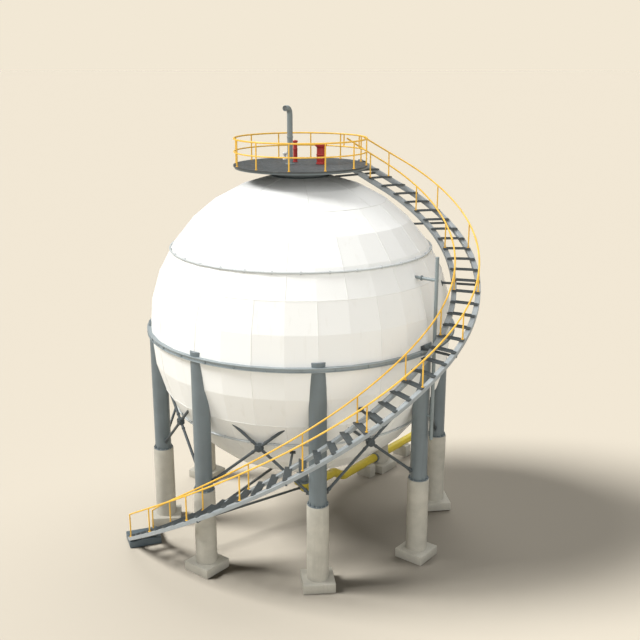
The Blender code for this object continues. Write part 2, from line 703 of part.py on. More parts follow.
def make_outlet():
    """The bottom nozzle, the outlet pipe that runs out between two columns, and its saddles."""
    nozzle = disc("bottom_nozzle", NOZZLE_RADIUS, NOZZLE_BOTTOM, TANK_CENTRE, FITTING_SIDES)
    flange = disc("nozzle_flange", NOZZLE_FLANGE_RADIUS, NOZZLE_BOTTOM,
                  NOZZLE_BOTTOM + NOZZLE_FLANGE_THICKNESS, FITTING_SIDES)
    finished(cut(fuse(nozzle, [flange]), [shell_cutter()]), "steel_grey")

    outlet = outlet_run("outlet_pipe", OUTLET_RADIUS)
    top_flange = disc("top_flange", NOZZLE_FLANGE_RADIUS, NOZZLE_BOTTOM - NOZZLE_FLANGE_THICKNESS,
                      NOZZLE_BOTTOM - FIT_GAP, FITTING_SIDES)
    end_flange = bar("end_flange", polar(OUTLET_END - OUTLET_FLANGE_THICKNESS, OUTLET_ANGLE, OUTLET_LOW),
                     polar(OUTLET_END + FIT_GAP, OUTLET_ANGLE, OUTLET_LOW),
                     OUTLET_FLANGE_RADIUS, FITTING_SIDES)
    finished(fuse(outlet, [end_flange, top_flange]), "pipe_yellow")

    for number, radius in enumerate(SADDLE_RADII, start=1):
        top = OUTLET_LOW - OUTLET_RADIUS + SADDLE_SEAT_DEPTH
        saddle = block(f"pipe_saddle_{number}", (SADDLE_LENGTH, SADDLE_WIDTH, top),
                       polar(radius, OUTLET_ANGLE, top / 2), OUTLET_ANGLE)
        seat = bar("seat", polar(radius - SADDLE_LENGTH, OUTLET_ANGLE, OUTLET_LOW),
                   polar(radius + SADDLE_LENGTH, OUTLET_ANGLE, OUTLET_LOW),
                   OUTLET_RADIUS + 2 * FIT_GAP, SADDLE_SEAT_SIDES)
        finished(cut(saddle, [seat]), "concrete")


def centre_on_footprint():
    """Move the root so that the middle of the whole object's box stands over the origin."""
    bpy.context.view_layer.update()
    corners = [item.matrix_world @ Vector(corner) for item in bpy.data.objects if item.type == "MESH"
               for corner in item.bound_box]
    lows = [min(corner[axis] for corner in corners) for axis in range(2)]
    highs = [max(corner[axis] for corner in corners) for axis in range(2)]
    root = bpy.data.objects["root"]
    root.location = (-(lows[0] + highs[0]) / 2, -(lows[1] + highs[1]) / 2, 0.0)


def main():
    clear_scene()
    root = bpy.data.objects.new("root", None)
    bpy.context.scene.collection.objects.link(root)
    make_shell()
    make_hoops()
    make_legs()
    make_braces()
    make_top()
    make_railing()
    make_stair()
    make_fittings()
    make_standpipe()
    make_outlet()
    centre_on_footprint()
    bpy.context.view_layer.update()


main()
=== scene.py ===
"""Finishes, fine detail and studio for a spherical gas tank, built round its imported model.

Metres, +Z up. The tank's axis stands where the middle of the equator girder is, and angles are
measured from +X. Sizes that the model is built from are repeated here under the same names.
"""

from math import asin, cos, pi, radians, sin, sqrt, tan, tau

import bmesh
import bpy
from mathutils import Matrix, Vector


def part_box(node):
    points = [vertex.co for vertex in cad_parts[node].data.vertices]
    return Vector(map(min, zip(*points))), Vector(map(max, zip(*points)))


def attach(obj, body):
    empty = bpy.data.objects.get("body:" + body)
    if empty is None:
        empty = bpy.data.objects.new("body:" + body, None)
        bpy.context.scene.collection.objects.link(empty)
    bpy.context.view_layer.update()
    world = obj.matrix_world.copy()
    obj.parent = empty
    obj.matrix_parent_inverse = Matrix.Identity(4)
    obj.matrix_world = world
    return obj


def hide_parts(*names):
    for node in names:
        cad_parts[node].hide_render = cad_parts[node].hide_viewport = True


UP = Vector((0.0, 0.0, 1.0))
BODY = "root"
SMOOTH_ANGLE = radians(35)

# Vessel.
TANK_RADIUS = 6.15
TANK_CENTRE = 8.71
PLATES_AROUND = 32
PLATE_BANDS = 16
ZONE_NODES = ("bottom_cap", "lower_zone", "equator_zone", "upper_zone", "top_cap")
WELD_RADIUS = 0.011
WELD_RINGS = (3, 6, 10, 13)
# First ring, last ring, spacing and first meridian of each zone's upright welds.
UPRIGHT_WELDS = ((1, 3, 4, 0), (3, 6, 2, 1), (6, 10, 2, 0), (10, 13, 2, 1), (13, 15, 4, 0))
PLATE_EDGE_EASE = 0.012
PLATE_SMOOTH_ANGLE = radians(3)
SHELL_DIRT = (0.60, 0.58, 0.50)

# Hoops and girder.
GIRDER_OUTER_RADIUS = 6.298
GIRDER_HEIGHT = 0.16
GIRDER_LIP = 0.022
HOOP_OFFSET = 3.26
HOOP_SIZE = 0.074
HOOP_CLIP = (0.05, 0.11, 0.10)

# Legs.
COLUMNS = 8
FIRST_COLUMN_ANGLE = radians(-90)
COLUMN_SPACING = tau / COLUMNS
COLUMN_RING_RADIUS = 5.892
COLUMN_RADIUS = 0.332
COLUMN_TOP = TANK_CENTRE + 0.25
COLUMN_TOP_EASE = 0.012
COLUMN_WELD_SHARES = (0.36, 0.70)
BASE_RING_THICKNESS = 0.030
ANCHOR_BOLTS = 12
GUSSET_REACH = 0.060
GUSSET_HEIGHT = 0.15
PIER_RADIUS = 0.414
PIER_TOP = 3.395
PIER_JOINTS = (1.38, 2.39)
PIER_SMOOTH_ANGLE = radians(25)
FOOTING_SIDE = 1.218
FOOTING_HEIGHT = 0.37

# Braces.
BRACE_RADIUS = 0.055
BRACE_HUB_HEIGHT = TANK_CENTRE - 3.34
BRACE_FOOT_HEIGHT = PIER_TOP + 0.10
BRACE_HEAD_SHARE = 0.8
BRACE_HUB_RADIUS = 0.15
BRACE_HUB_LENGTH = 0.22
BRACE_CLEVIS = (0.20, 0.17, 0.024)
BRACE_SLEEVE_DISTANCE = 0.33

# Top platform and railing.
PLATFORM_TOP = TANK_CENTRE + 6.478
PLATFORM_RADIUS = 2.655
PLATFORM_THICKNESS = 0.062
PLATFORM_UNDERSIDE = PLATFORM_TOP - PLATFORM_THICKNESS
MIDDLE_BEAM_RADIUS = 1.75
DECK_PLATE_WIDTH = 0.75
NECK_RADIUS = 1.009
NECK_FLANGE_THICKNESS = 0.10
NECK_RIB = (0.012, 0.16, 0.07)
RAIL_POSTS = 12
RAIL_POST_ANGLE = radians(15)
RAIL_RING_RADIUS = 2.608
RAIL_HEIGHT = 1.013
RAIL_TOP = PLATFORM_TOP + RAIL_HEIGHT
RAIL_MIDDLE = PLATFORM_TOP + RAIL_HEIGHT / 2
RAIL_CAP_RADIUS = 0.036
RAIL_STEP = radians(2.5)
RAIL_RADIUS = 0.033
POST_RADIUS = 0.028
GUARD_UPRIGHT_INSET = radians(4)

# Stair.
FIRST_TREAD = -1
LAST_TREAD = 45
TREAD_ZERO_ANGLE = radians(28.66)
TREAD_ANGLE = radians(4.2787)
TREAD_ZERO_TOP = TANK_CENTRE + 6.058
TREAD_RISE = 0.3186
TREAD_DEPTH = 0.28
TREAD_THICKNESS = 0.05
TREAD_OVERHANG = 0.08
TREAD_SHEET = 0.010
RIBS = 9
RIB_SPACING = 0.029
RIB_HEIGHT = 0.006
STAIR_INNER_RADIUS = 6.61
STAIR_WIDTH = 0.93
STRAIGHT_RUN_HEIGHT = 5.41
STRINGER_WIDTH = 0.20
STRINGER_DEPTH = 0.17
STRINGER_START = FIRST_TREAD - 0.30
STRINGER_END = LAST_TREAD + 0.50
FLIGHT_TREADS = 12
SPLICE_PLATE = (0.30, 0.10, 0.012)
HANDRAIL_HEIGHT = 0.98
HANDRAIL_POST_EVERY = 4
BRACKET_EVERY = 6
BRACKET_DROP = 0.19
BRACKET_SIZE = 0.08
BRACKET_PAD = (0.22, 0.22, 0.030)
BASE_ANGLE = radians(-166)
BASE_INNER_RADIUS = 6.335
BASE_OUTER_RADIUS = 7.62
BASE_WIDTH = 0.98
BASE_HEIGHT = 0.28

# Fittings on the platform.
VENT_PLACE = (-0.42, -0.08)
VENT_RADIUS = 0.11
VENT_BORE = 0.094
VENT_RISE = 2.17
VENT_BEND = 0.24
VENT_OUTLET_ANGLE = radians(-122)
VENT_OUTLET_LENGTH = 0.16
VENT_MOUTH = 0.10
LARGE_VALVE_PLACE = (0.80, -0.10)
SMALL_VALVE_PLACE = (-0.14, 0.74)
GAUGE_PLACE = (-0.48, 1.73)
# Outlines of the turned fittings, as radius and height above the deck.
LARGE_VALVE_PROFILE = (
    (0.0, 0.0), (0.195, 0.0), (0.195, 0.05), (0.172, 0.055), (0.170, 0.10), (0.176, 0.16),
    (0.176, 0.34), (0.190, 0.345), (0.190, 0.385), (0.170, 0.39), (0.170, 0.60), (0.176, 0.66),
    (0.235, 0.70), (0.235, 0.735), (0.222, 0.738), (0.222, 0.745), (0.235, 0.748), (0.235, 0.785),
    (0.10, 0.786), (0.10, 0.80), (0.0, 0.80),
)
SMALL_VALVE_PROFILE = (
    (0.0, 0.0), (0.102, 0.0), (0.102, 0.03), (0.084, 0.034), (0.083, 0.12), (0.087, 0.16),
    (0.087, 0.50), (0.100, 0.505), (0.100, 0.535), (0.085, 0.54), (0.085, 0.78), (0.105, 0.80),
    (0.105, 0.85), (0.05, 0.855), (0.05, 0.87), (0.0, 0.87),
)
GAUGE_PROFILE = (
    (0.0, 0.0), (0.10, 0.0), (0.10, 0.03), (0.062, 0.034), (0.062, 0.20), (0.10, 0.22),
    (0.10, 0.285), (0.088, 0.30), (0.080, 0.292), (0.0, 0.292),
)

# Standpipe.
STANDPIPE_COLUMN = 1
STANDPIPE_RADIUS = 0.068
STANDPIPE_RING_RADIUS = 6.40
STANDPIPE_TOP = TANK_CENTRE + 3.57
STANDPIPE_FOOT = TANK_CENTRE - 3.56
STANDPIPE_BRANCH = TANK_CENTRE + 2.70
STANDPIPE_HOLDER = TANK_CENTRE - 2.62
STANDPIPE_BRANCH_RADIUS = 0.06

# Bottom nozzle and outlet.
NOZZLE_RADIUS = 0.25
NOZZLE_FLANGE_RADIUS = 0.36
NOZZLE_BOTTOM = TANK_CENTRE - 7.22
NOZZLE_FLANGE_THICKNESS = 0.08
NOZZLE_RISE = 1.12
NOZZLE_BOLT_RADIUS = (NOZZLE_RADIUS + NOZZLE_FLANGE_RADIUS) / 2 + 0.01
OUTLET_COLUMN = 3
OUTLET_ANGLE = FIRST_COLUMN_ANGLE + OUTLET_COLUMN * COLUMN_SPACING
OUTLET_RADIUS = 0.195
OUTLET_HIGH = TANK_CENTRE - 7.63
OUTLET_LOW = TANK_CENTRE - 8.06
OUTLET_JOG_START = 2.25
OUTLET_JOG_END = 2.95
OUTLET_END = 9.2
OUTLET_BEND = 0.30
OUTLET_FLANGE_RADIUS = 0.275
OUTLET_FLANGE_THICKNESS = 0.08
SADDLE_RADII = (4.80, 7.87)
SADDLE_LENGTH = 0.42
SADDLE_WIDTH = 0.80
SADDLE_SEAT_DEPTH = 0.12

# Camera, fitted to the photographed view, and light.
CAMERA_AZIMUTH = radians(-95.485)
CAMERA_ELEVATION = radians(16.01)
CAMERA_DISTANCE = 38.10
CAMERA_PAN = radians(1.1527)
CAMERA_TILT = radians(0.0955)
CAMERA_FOV = radians(38.376)
FLOOR_COLOUR = (0.2000, 0.1818, 0.1498)
BACKGROUND = (0.888, 0.807, 0.665)
# Each lamp's azimuth, elevation and width in degrees, its strength and what it does with the floor.
LAMPS = (
    ("key_on_tank", 173.5, 45, 22, 3.75, "EXCLUDE"),
    ("key_on_floor", 173.5, 45, 22, 14.35, "INCLUDE"),
    ("back_on_tank", 58, 56, 64, 1.5, "EXCLUDE"),
    ("back_on_floor", 58, 56, 64, 4.4, "INCLUDE"),
    ("front_on_tank", -84, 18, 100, 2.50, "EXCLUDE"),
)
SKY_STRENGTH = 0.04
FLOOR_RADIUS = 1500.0

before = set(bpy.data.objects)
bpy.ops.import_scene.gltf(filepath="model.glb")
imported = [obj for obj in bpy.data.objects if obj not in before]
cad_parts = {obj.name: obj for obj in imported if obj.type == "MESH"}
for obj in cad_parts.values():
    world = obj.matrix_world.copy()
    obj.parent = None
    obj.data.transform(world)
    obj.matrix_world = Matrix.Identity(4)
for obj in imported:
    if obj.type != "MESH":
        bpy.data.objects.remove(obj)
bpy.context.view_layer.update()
girder_low, girder_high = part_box("equator_girder")
AXIS = Vector(((girder_low.x + girder_high.x) / 2, (girder_low.y + girder_high.y) / 2, 0.0))


# Places and directions.


def polar(radius, angle, height):
    """A point at a radius and angle from the tank's axis."""
    return AXIS + Vector((radius * cos(angle), radius * sin(angle), height))


def on_axis(height):
    return polar(0.0, 0.0, height)


def on_deck(spot):
    """A point on the platform's top, from its offset to the axis."""
    return on_axis(PLATFORM_TOP) + Vector((*spot, 0.0))


def direction(angle, rise=0.0):
    return Vector((cos(angle) * cos(rise), sin(angle) * cos(rise), sin(rise)))


def sideways(out):
    """The level direction a quarter turn on from another one."""
    return Vector((-out.y, out.x, 0.0))


def off_shell(point):
    """The direction straight out of the ball at a point."""
    return (point - on_axis(TANK_CENTRE)).normalized()


def column_angle(number):
    return FIRST_COLUMN_ANGLE + number * COLUMN_SPACING


def turns(count, shift=0.0):
    """Evenly spaced angles round a full turn, shifted by a share of one step."""
    return [tau * (k + shift) / count for k in range(count)]


def spread(first, last, steps):
    """Evenly spaced values from first to last, both included."""
    return [first + (last - first) * k / steps for k in range(steps + 1)]


def place(origin, axis=UP, turn=0.0):
    """A matrix that puts local +Z along an axis at a point, turned about that axis."""
    axis = Vector(axis).normalized()
    side = UP.cross(axis)
    if side.length < 1e-6:
        side = Vector((1.0, 0.0, 0.0))
    side.normalize()
    basis = Matrix((side, axis.cross(side), axis)).transposed().to_4x4()
    return Matrix.Translation(origin) @ basis @ Matrix.Rotation(turn, 4, "Z")


# Basic shapes.


def bridge(bm, rings, closed=False):
    """Faces between a row of rings. A ring may be a single point, which closes the shape."""
    pairs = list(zip(rings, rings[1:]))
    if closed:
        pairs.append((rings[-1], rings[0]))
    faces = []
    for ring, following in pairs:
        count = max(len(ring), len(following))
        for k in range(count):
            after = (k + 1) % count
            corners = dict.fromkeys((ring[k % len(ring)], ring[after % len(ring)],
                                     following[after % len(following)], following[k % len(following)]))
            if len(corners) > 2:
                faces.append(bm.faces.new(list(corners)))
    return faces


def tube(bm, points, radius, sides, closed=False):
    """A round bar along a row of points, with its ends closed."""
    count = len(points)
    normal = None
    rings = []
    for k, point in enumerate(points):
        before = points[k - 1] if closed or k else point
        after = points[(k + 1) % count] if closed or k < count - 1 else point
        tangent = (after - before).normalized()
        if normal is None:
            normal = tangent.orthogonal()
        normal = (normal - tangent * normal.dot(tangent)).normalized()
        side = tangent.cross(normal)
        rings.append([bm.verts.new(point + (normal * cos(angle) + side * sin(angle)) * radius)
                      for angle in turns(sides)])
    bridge(bm, rings, closed)
    if not closed:
        bm.faces.new(rings[0])
        bm.faces.new(rings[-1])


def turned(bm, outline, matrix, segments):
    """A shape turned about local Z from (radius, height) points. Zero radii close it."""
    rings = []
    for radius, height in outline:
        angles = turns(segments) if radius > 1e-6 else turns(1)
        spots = [Vector((radius * cos(angle), radius * sin(angle), height)) for angle in angles]
        rings.append([bm.verts.new(matrix @ spot) for spot in spots])
    bridge(bm, rings)


def ring_bar(bm, outline, height, steps):
    """A ring round the tank's axis with a cross-section of (radius, rise) points."""
    bridge(bm, [[bm.verts.new(polar(radius, angle, height + rise)) for radius, rise in outline]
                for angle in turns(steps)], True)


def plate(bm, size, matrix, chamfer):
    """A flat-sided piece centred on a matrix, with every edge eased."""
    made = bmesh.ops.create_cube(bm, size=1.0, matrix=matrix @ Matrix.Diagonal((*size, 1.0)))
    edges = list({edge for vert in made["verts"] for edge in vert.link_edges})
    bmesh.ops.bevel(bm, geom=edges, offset=chamfer, segments=2, profile=0.5, affect="EDGES",
                    clamp_overlap=True)


def loft(bm, sections):
    """Skin a row of like outlines and close both ends."""
    rings = [[bm.verts.new(point) for point in section] for section in sections]
    bridge(bm, rings)
    bm.faces.new(rings[0])
    bm.faces.new(rings[-1])


def slab(bm, corners, half):
    """A flat plate with these corners, half its thickness to either side."""
    loft(bm, [[corner + offset for corner in corners] for offset in (-half, half)])


def bolt(bm, origin, axis, size):
    """A hexagon head on a washer, standing on a surface."""
    matrix = place(origin, axis)
    turned(bm, ((0.0, 0.0), (size * 1.35, 0.0), (size * 1.35, size * 0.2), (0.0, size * 0.2)), matrix, 12)
    turned(bm, ((0.0, size * 0.2), (size, size * 0.2), (size, size * 0.85), (size * 0.85, size),
                (0.0, size)), matrix, 6)


def bolt_ring(bm, centre, axis, ring_radius, count, size):
    matrix = place(centre, axis)
    for angle in turns(count, 0.5):
        spot = matrix @ Vector((ring_radius * cos(angle), ring_radius * sin(angle), 0.0))
        bolt(bm, spot, axis, size)


def flange(bm, centre, axis, radius, thickness, segments=48):
    """A flange disc with eased rims, from a centre along an axis."""
    ease = min(0.006, thickness / 4)
    turned(bm, ((0.0, 0.0), (radius - ease, 0.0), (radius, ease), (radius, thickness - ease),
                (radius - ease, thickness), (0.0, thickness)), place(centre, axis), segments)


def rounded(outline, ease):
    """Round the corners of a (radius, height) outline by short arcs."""
    result = [outline[0]]
    for before, corner, after in zip(outline, outline[1:], outline[2:]):
        corner_at, back, ahead = Vector(corner), Vector(before), Vector(after)
        reach = min(ease, (back - corner_at).length / 2.1, (ahead - corner_at).length / 2.1)
        start = corner_at + (back - corner_at).normalized() * reach
        end = corner_at + (ahead - corner_at).normalized() * reach
        for share in spread(0.0, 1.0, 3):
            point = start.lerp(corner_at, share).lerp(corner_at.lerp(end, share), share)
            result.append((point.x, point.y))
    result.append(outline[-1])
    return result


def drum(bm, foot, axis, radius, length, ease, segments):
    """A closed round block with rounded rims, from its foot along an axis."""
    outline = ((0.0, 0.0), (radius, 0.0), (radius, length), (0.0, length))
    turned(bm, rounded(outline, ease), place(foot, axis), segments)


def add_object(name, data):
    item = bpy.data.objects.new(name, data)
    bpy.context.scene.collection.objects.link(item)
    return item


def turn_towards(item, toward):
    """Turn a lamp or a camera so that its back faces a direction."""
    item.rotation_mode = "QUATERNION"
    item.rotation_quaternion = toward.to_track_quat("Z", "Y")


def piece(name, bm, finish, replaces=(), smooth_angle=SMOOTH_ANGLE):
    """Make a shown piece of the object from a bmesh, riding on the frame."""
    material, slot = finish
    bmesh.ops.recalc_face_normals(bm, faces=bm.faces)
    mesh = bpy.data.meshes.new(name)
    bm.to_mesh(mesh)
    bm.free()
    mesh.shade_smooth()
    mesh.set_sharp_from_angle(angle=smooth_angle)
    mesh.materials.append(material)
    item = add_object(name, mesh)
    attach(item, BODY)
    if replaces:
        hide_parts(*replaces)


def finished(node, bm, finish, smooth_angle=SMOOTH_ANGLE):
    """The finished piece that stands in for the node it is named after."""
    piece(f"{node}_finished", bm, finish, (node,), smooth_angle)


# Finishes. Each is a material paired with a slot name.


def fill(tree, node, inputs):
    """Give a shader node's inputs plain values or other nodes' outputs."""
    for key, value in inputs.items():
        if isinstance(value, bpy.types.NodeSocket):
            tree.links.new(value, node.inputs[key])
        else:
            node.inputs[key].default_value = value


def add_node(tree, kind, inputs, **settings):
    made = tree.nodes.new(f"ShaderNode{kind}")
    for key, value in settings.items():
        setattr(made, key, value)
    fill(tree, made, inputs)
    return made


class Surface:
    """Short calls for the nodes of one procedural material, in object metres."""

    def __init__(self, name, roughness, metallic=0.0):
        self.material = bpy.data.materials.new(name)
        self.material.use_nodes = True
        self.tree = self.material.node_tree
        self.shader = self.tree.nodes["Principled BSDF"]
        fill(self.tree, self.shader, {"Roughness": roughness, "Metallic": metallic})
        self.place = self.node("TexCoord", "Object", {})

    def node(self, kind, output, inputs, **settings):
        return add_node(self.tree, kind, inputs, **settings).outputs[output]

    def noise(self, scale, detail, stretch=(1.0, 1.0, 1.0)):
        spot = self.node("Mapping", "Vector", {"Vector": self.place, "Scale": stretch})
        return self.node("TexNoise", "Fac", {"Vector": spot, "Scale": scale, "Detail": detail})

    def ramp(self, value, low, high, start=0.0, end=1.0):
        """Map a value's band from low to high onto start to end, clamped."""
        return self.node("MapRange", "Result", {"Value": value, "From Min": low, "From Max": high,
                                                "To Min": start, "To Max": end})

    def math(self, operation, first, second):
        return self.node("Math", "Value", {0: first, 1: second}, operation=operation)

    def mix(self, factor, first, second):
        """Blend two colours. Inputs 6 and 7 and output 2 of the node are its colour ones."""
        pair = [(*colour, 1.0) if isinstance(colour, tuple) else colour for colour in (first, second)]
        return self.node("Mix", 2, {"Factor": factor, 6: pair[0], 7: pair[1]}, data_type="RGBA")

    def cloudy(self, colour, scale, detail, band, dark, light):
        """Soft patches between a darker and a lighter shade of a colour."""
        patches = self.ramp(self.noise(scale, detail), *band)
        return self.mix(patches, shade(colour, dark), shade(colour, light))

    def gloss(self, scale, low, high, detail=4.0):
        """A roughness that wanders between two values."""
        return self.ramp(self.noise(scale, detail), 0.3, 0.7, low, high)

    def done(self, colour, gloss, relief, depth, strength):
        """Lead the colour, the roughness and the bumps into the shader."""
        bump = self.node("Bump", "Normal", {"Height": relief, "Distance": depth, "Strength": strength})
        fill(self.tree, self.shader, {"Base Color": colour, "Roughness": gloss, "Normal": bump})
        return self.material


def shade(colour, factor):
    return tuple(channel * factor for channel in colour)


def paint(name, slot, colour, roughness=0.45, dirt=0.25, patch_scale=1.3):
    """Brush or spray paint on steel: cloudy tone, faint runs of dirt and an uneven gloss."""
    skin = Surface(name, roughness)
    tone = skin.cloudy(colour, patch_scale, 5.0, (0.35, 0.68), 0.93, 1.05)
    runs = skin.ramp(skin.noise(9.0, 4.0, (1.0, 1.0, 0.08)), 0.56, 0.80, 0.0, dirt)
    tone = skin.mix(runs, tone, shade(colour, 0.62))
    gloss = skin.gloss(6.0, roughness - 0.07, roughness + 0.09)
    return skin.done(tone, gloss, skin.noise(90.0, 3.0), 0.0015, 0.35), slot


def worn_paint(name, slot, colour, metal, roughness=0.42):
    """Hard-used paint: cloudy tone and small chips down to the metal."""
    skin = Surface(name, roughness)
    tone = skin.cloudy(colour, 3.0, 5.0, (0.35, 0.65), 0.92, 1.06)
    chips = skin.ramp(skin.noise(26.0, 6.0), 0.715, 0.735)
    tone = skin.mix(chips, tone, metal)
    gloss = skin.gloss(12.0, roughness - 0.06, roughness + 0.12)
    raised = skin.math("SUBTRACT", skin.noise(70.0, 3.0), skin.math("MULTIPLY", chips, 0.8))
    return skin.done(tone, gloss, raised, 0.001, 0.4), slot


def concrete(name, slot, colour):
    """Cast concrete: cloudy cement, fine sand, dark runs, blowholes and damp near the ground."""
    skin = Surface(name, 0.9)
    tone = skin.cloudy(colour, 1.7, 6.0, (0.32, 0.68), 0.86, 1.10)
    sand = skin.ramp(skin.noise(55.0, 3.0), 0.40, 0.66, 0.0, 0.35)
    tone = skin.mix(sand, tone, shade(colour, 0.78))
    runs = skin.ramp(skin.noise(7.0, 5.0, (1.0, 1.0, 0.10)), 0.55, 0.75, 0.0, 0.35)
    tone = skin.mix(runs, tone, shade(colour, 0.70))
    height = skin.node("SeparateXYZ", "Z", {"Vector": skin.place})
    damp = skin.ramp(height, 0.0, 0.55, 0.40, 0.0)
    tone = skin.mix(damp, tone, shade(colour, 0.66))
    holes = skin.ramp(skin.noise(22.0, 2.0), 0.70, 0.76, 0.0, -1.0)
    relief = skin.math("ADD", skin.noise(60.0, 5.0), holes)
    return skin.done(tone, skin.gloss(20.0, 0.82, 0.95, 3.0), relief, 0.004, 0.5), slot


def shell_paint(name, slot, colour):
    """White vessel paint: each plate's own slight tone, faint runs of dirt, roller stipple."""
    skin = Surface(name, 0.42)
    tint = skin.node("Attribute", "Fac", {}, attribute_name="plate_tone")
    tone = skin.mix(tint, shade(colour, 0.985), colour)
    cloud = skin.ramp(skin.noise(0.55, 5.0), 0.38, 0.72, 0.0, 0.5)
    tone = skin.mix(cloud, tone, shade(colour, 0.965))
    runs = skin.ramp(skin.noise(5.0, 5.0, (1.0, 1.0, 0.06)), 0.60, 0.82, 0.0, 0.22)
    tone = skin.mix(runs, tone, SHELL_DIRT)
    return skin.done(tone, skin.gloss(2.5, 0.36, 0.50), skin.noise(45.0, 3.0), 0.002, 0.30), slot


def chequer(name, slot, colour):
    """Dark walkway plate with raised crossed bars, rubbed brighter on the bars."""
    skin = Surface(name, 0.55, 0.3)
    bars = []
    for turn in (45, -45):
        spot = skin.node("Mapping", "Vector", {"Vector": skin.place, "Scale": (9.0, 28.0, 1.0),
                                               "Rotation": (0.0, 0.0, radians(turn))})
        cells = skin.node("TexVoronoi", "Distance", {"Vector": spot, "Scale": 1.0, "Randomness": 0.0},
                          feature="F1", distance="CHEBYCHEV")
        bars.append(skin.ramp(cells, 0.30, 0.20))
    raised = skin.math("MAXIMUM", *bars)
    tone = skin.cloudy(colour, 1.6, 6.0, (0.35, 0.68), 0.80, 1.15)
    rubbed = skin.math("MULTIPLY", raised, skin.ramp(skin.noise(4.0, 4.0), 0.35, 0.65, 0.0, 0.5))
    tone = skin.mix(rubbed, tone, shade(colour, 2.0))
    return skin.done(tone, skin.gloss(5.0, 0.42, 0.66), raised, 0.003, 0.6), slot


SHELL_WHITE = shell_paint("shell_white", "white_paint", (0.86, 0.865, 0.84))
WELD_WHITE = paint("weld_white", "white_paint", (0.80, 0.80, 0.77), 0.5, 0.10)
HOOP_GREY = paint("hoop_grey", "white_paint", (0.50, 0.53, 0.53), 0.45, 0.25)
STEEL_GREY = paint("steel_grey", "grey_paint", (0.150, 0.182, 0.195), 0.42, 0.35)
DARK_STEEL = paint("dark_steel", "dark_paint", (0.060, 0.074, 0.080), 0.50, 0.25)
GIRDER_GREY = paint("girder_grey", "grey_paint", (0.29, 0.33, 0.34), 0.42, 0.30)
PIPE_GREY = paint("pipe_grey", "grey_paint", (0.215, 0.255, 0.262), 0.42, 0.30)
STAIR_GREY = paint("stair_grey", "stair_paint", (0.31, 0.34, 0.35), 0.38, 0.30, 3.0)
TREAD_DARK = paint("tread_dark", "dark_paint", (0.072, 0.084, 0.087), 0.55, 0.30, 4.0)
DECK_PLATE = chequer("deck_plate", "dark_paint", (0.072, 0.080, 0.081))
BASE_DARK = paint("base_dark", "dark_paint", (0.090, 0.118, 0.133), 0.55, 0.35)
RAIL_YELLOW = worn_paint("rail_yellow", "rail_paint", (0.83, 0.49, 0.060), (0.22, 0.20, 0.17))
PIPE_YELLOW = paint("pipe_yellow", "pipe_paint", (0.60, 0.47, 0.045), 0.42, 0.30)
VALVE_RED = worn_paint("valve_red", "valve_paint", (0.42, 0.030, 0.025), (0.15, 0.10, 0.09), 0.38)
GAUGE_WHITE = paint("gauge_white", "white_paint", (0.72, 0.72, 0.68), 0.35, 0.20, 6.0)
ZINC = worn_paint("zinc_bolts", "grey_paint", (0.30, 0.31, 0.31), (0.16, 0.11, 0.08), 0.40)
CONCRETE = concrete("cast_concrete", "concrete", (0.46, 0.44, 0.375))


# Vessel.


def ring_profile(band):
    """Radius and height above the ball's middle of one ring of plate corners."""
    latitude = pi * band / PLATE_BANDS - pi / 2
    return TANK_RADIUS * cos(latitude), TANK_RADIUS * sin(latitude)


def shell_corner(band, around):
    """A corner of the plates, by the number of its ring and of its meridian."""
    radius, rise = ring_profile(band)
    return polar(radius, tau * around / PLATES_AROUND, TANK_CENTRE + rise)


def shell_radius_at(height):
    """Distance of the plates' corners from the axis at a height."""
    rise = max(-TANK_RADIUS, min(TANK_RADIUS, height - TANK_CENTRE))
    band = (asin(rise / TANK_RADIUS) + pi / 2) * PLATE_BANDS / pi
    low = min(int(band), PLATE_BANDS - 1)
    first, first_rise = ring_profile(low)
    second, second_rise = ring_profile(low + 1)
    return first + (second - first) * (rise - first_rise) / (second_rise - first_rise)


def plates():
    """The shell's flat plates as one skin, each with its own slight tone and eased ridges."""
    bm = bmesh.new()
    tone = bm.faces.layers.float.new("plate_tone")
    rings = []
    for band in range(PLATE_BANDS + 1):
        count = 1 if band in (0, PLATE_BANDS) else PLATES_AROUND
        rings.append([bm.verts.new(shell_corner(band, k)) for k in range(count)])
    for index, face in enumerate(bridge(bm, rings)):
        band, k = divmod(index, PLATES_AROUND)
        face[tone] = (k * 37 + band * 61 + k * band * 13) % 11 / 10
    bmesh.ops.bevel(bm, geom=bm.edges[:], offset=PLATE_EDGE_EASE, segments=2, profile=0.5,
                    affect="EDGES", clamp_overlap=True)
    piece("shell_plates", bm, SHELL_WHITE, ZONE_NODES, PLATE_SMOOTH_ANGLE)


def welds():
    """Raised weld beads: level rings between the zones and staggered uprights within each zone."""
    bm = bmesh.new()
    for band in WELD_RINGS:
        tube(bm, [shell_corner(band, k) for k in range(PLATES_AROUND)], WELD_RADIUS, 6, True)
    for first, last, every, start in UPRIGHT_WELDS:
        for around in range(start, PLATES_AROUND, every):
            tube(bm, [shell_corner(band, around) for band in range(first, last + 1)], WELD_RADIUS, 6)
    piece("shell_welds", bm, WELD_WHITE)


def hoops():
    for name, side in (("upper_hoop", 1), ("lower_hoop", -1)):
        height = TANK_CENTRE + side * HOOP_OFFSET
        surface_radius = shell_radius_at(height)
        bm = bmesh.new()
        circle = [polar(surface_radius + HOOP_SIZE * 0.55, angle, height) for angle in turns(128)]
        tube(bm, circle, HOOP_SIZE / 2, 12, True)
        for angle in turns(PLATES_AROUND, 0.5):
            clip = polar(surface_radius + HOOP_SIZE * 0.15, angle, height)
            plate(bm, HOOP_CLIP, place(clip, direction(angle)), 0.008)
        finished(name, bm, HOOP_GREY)


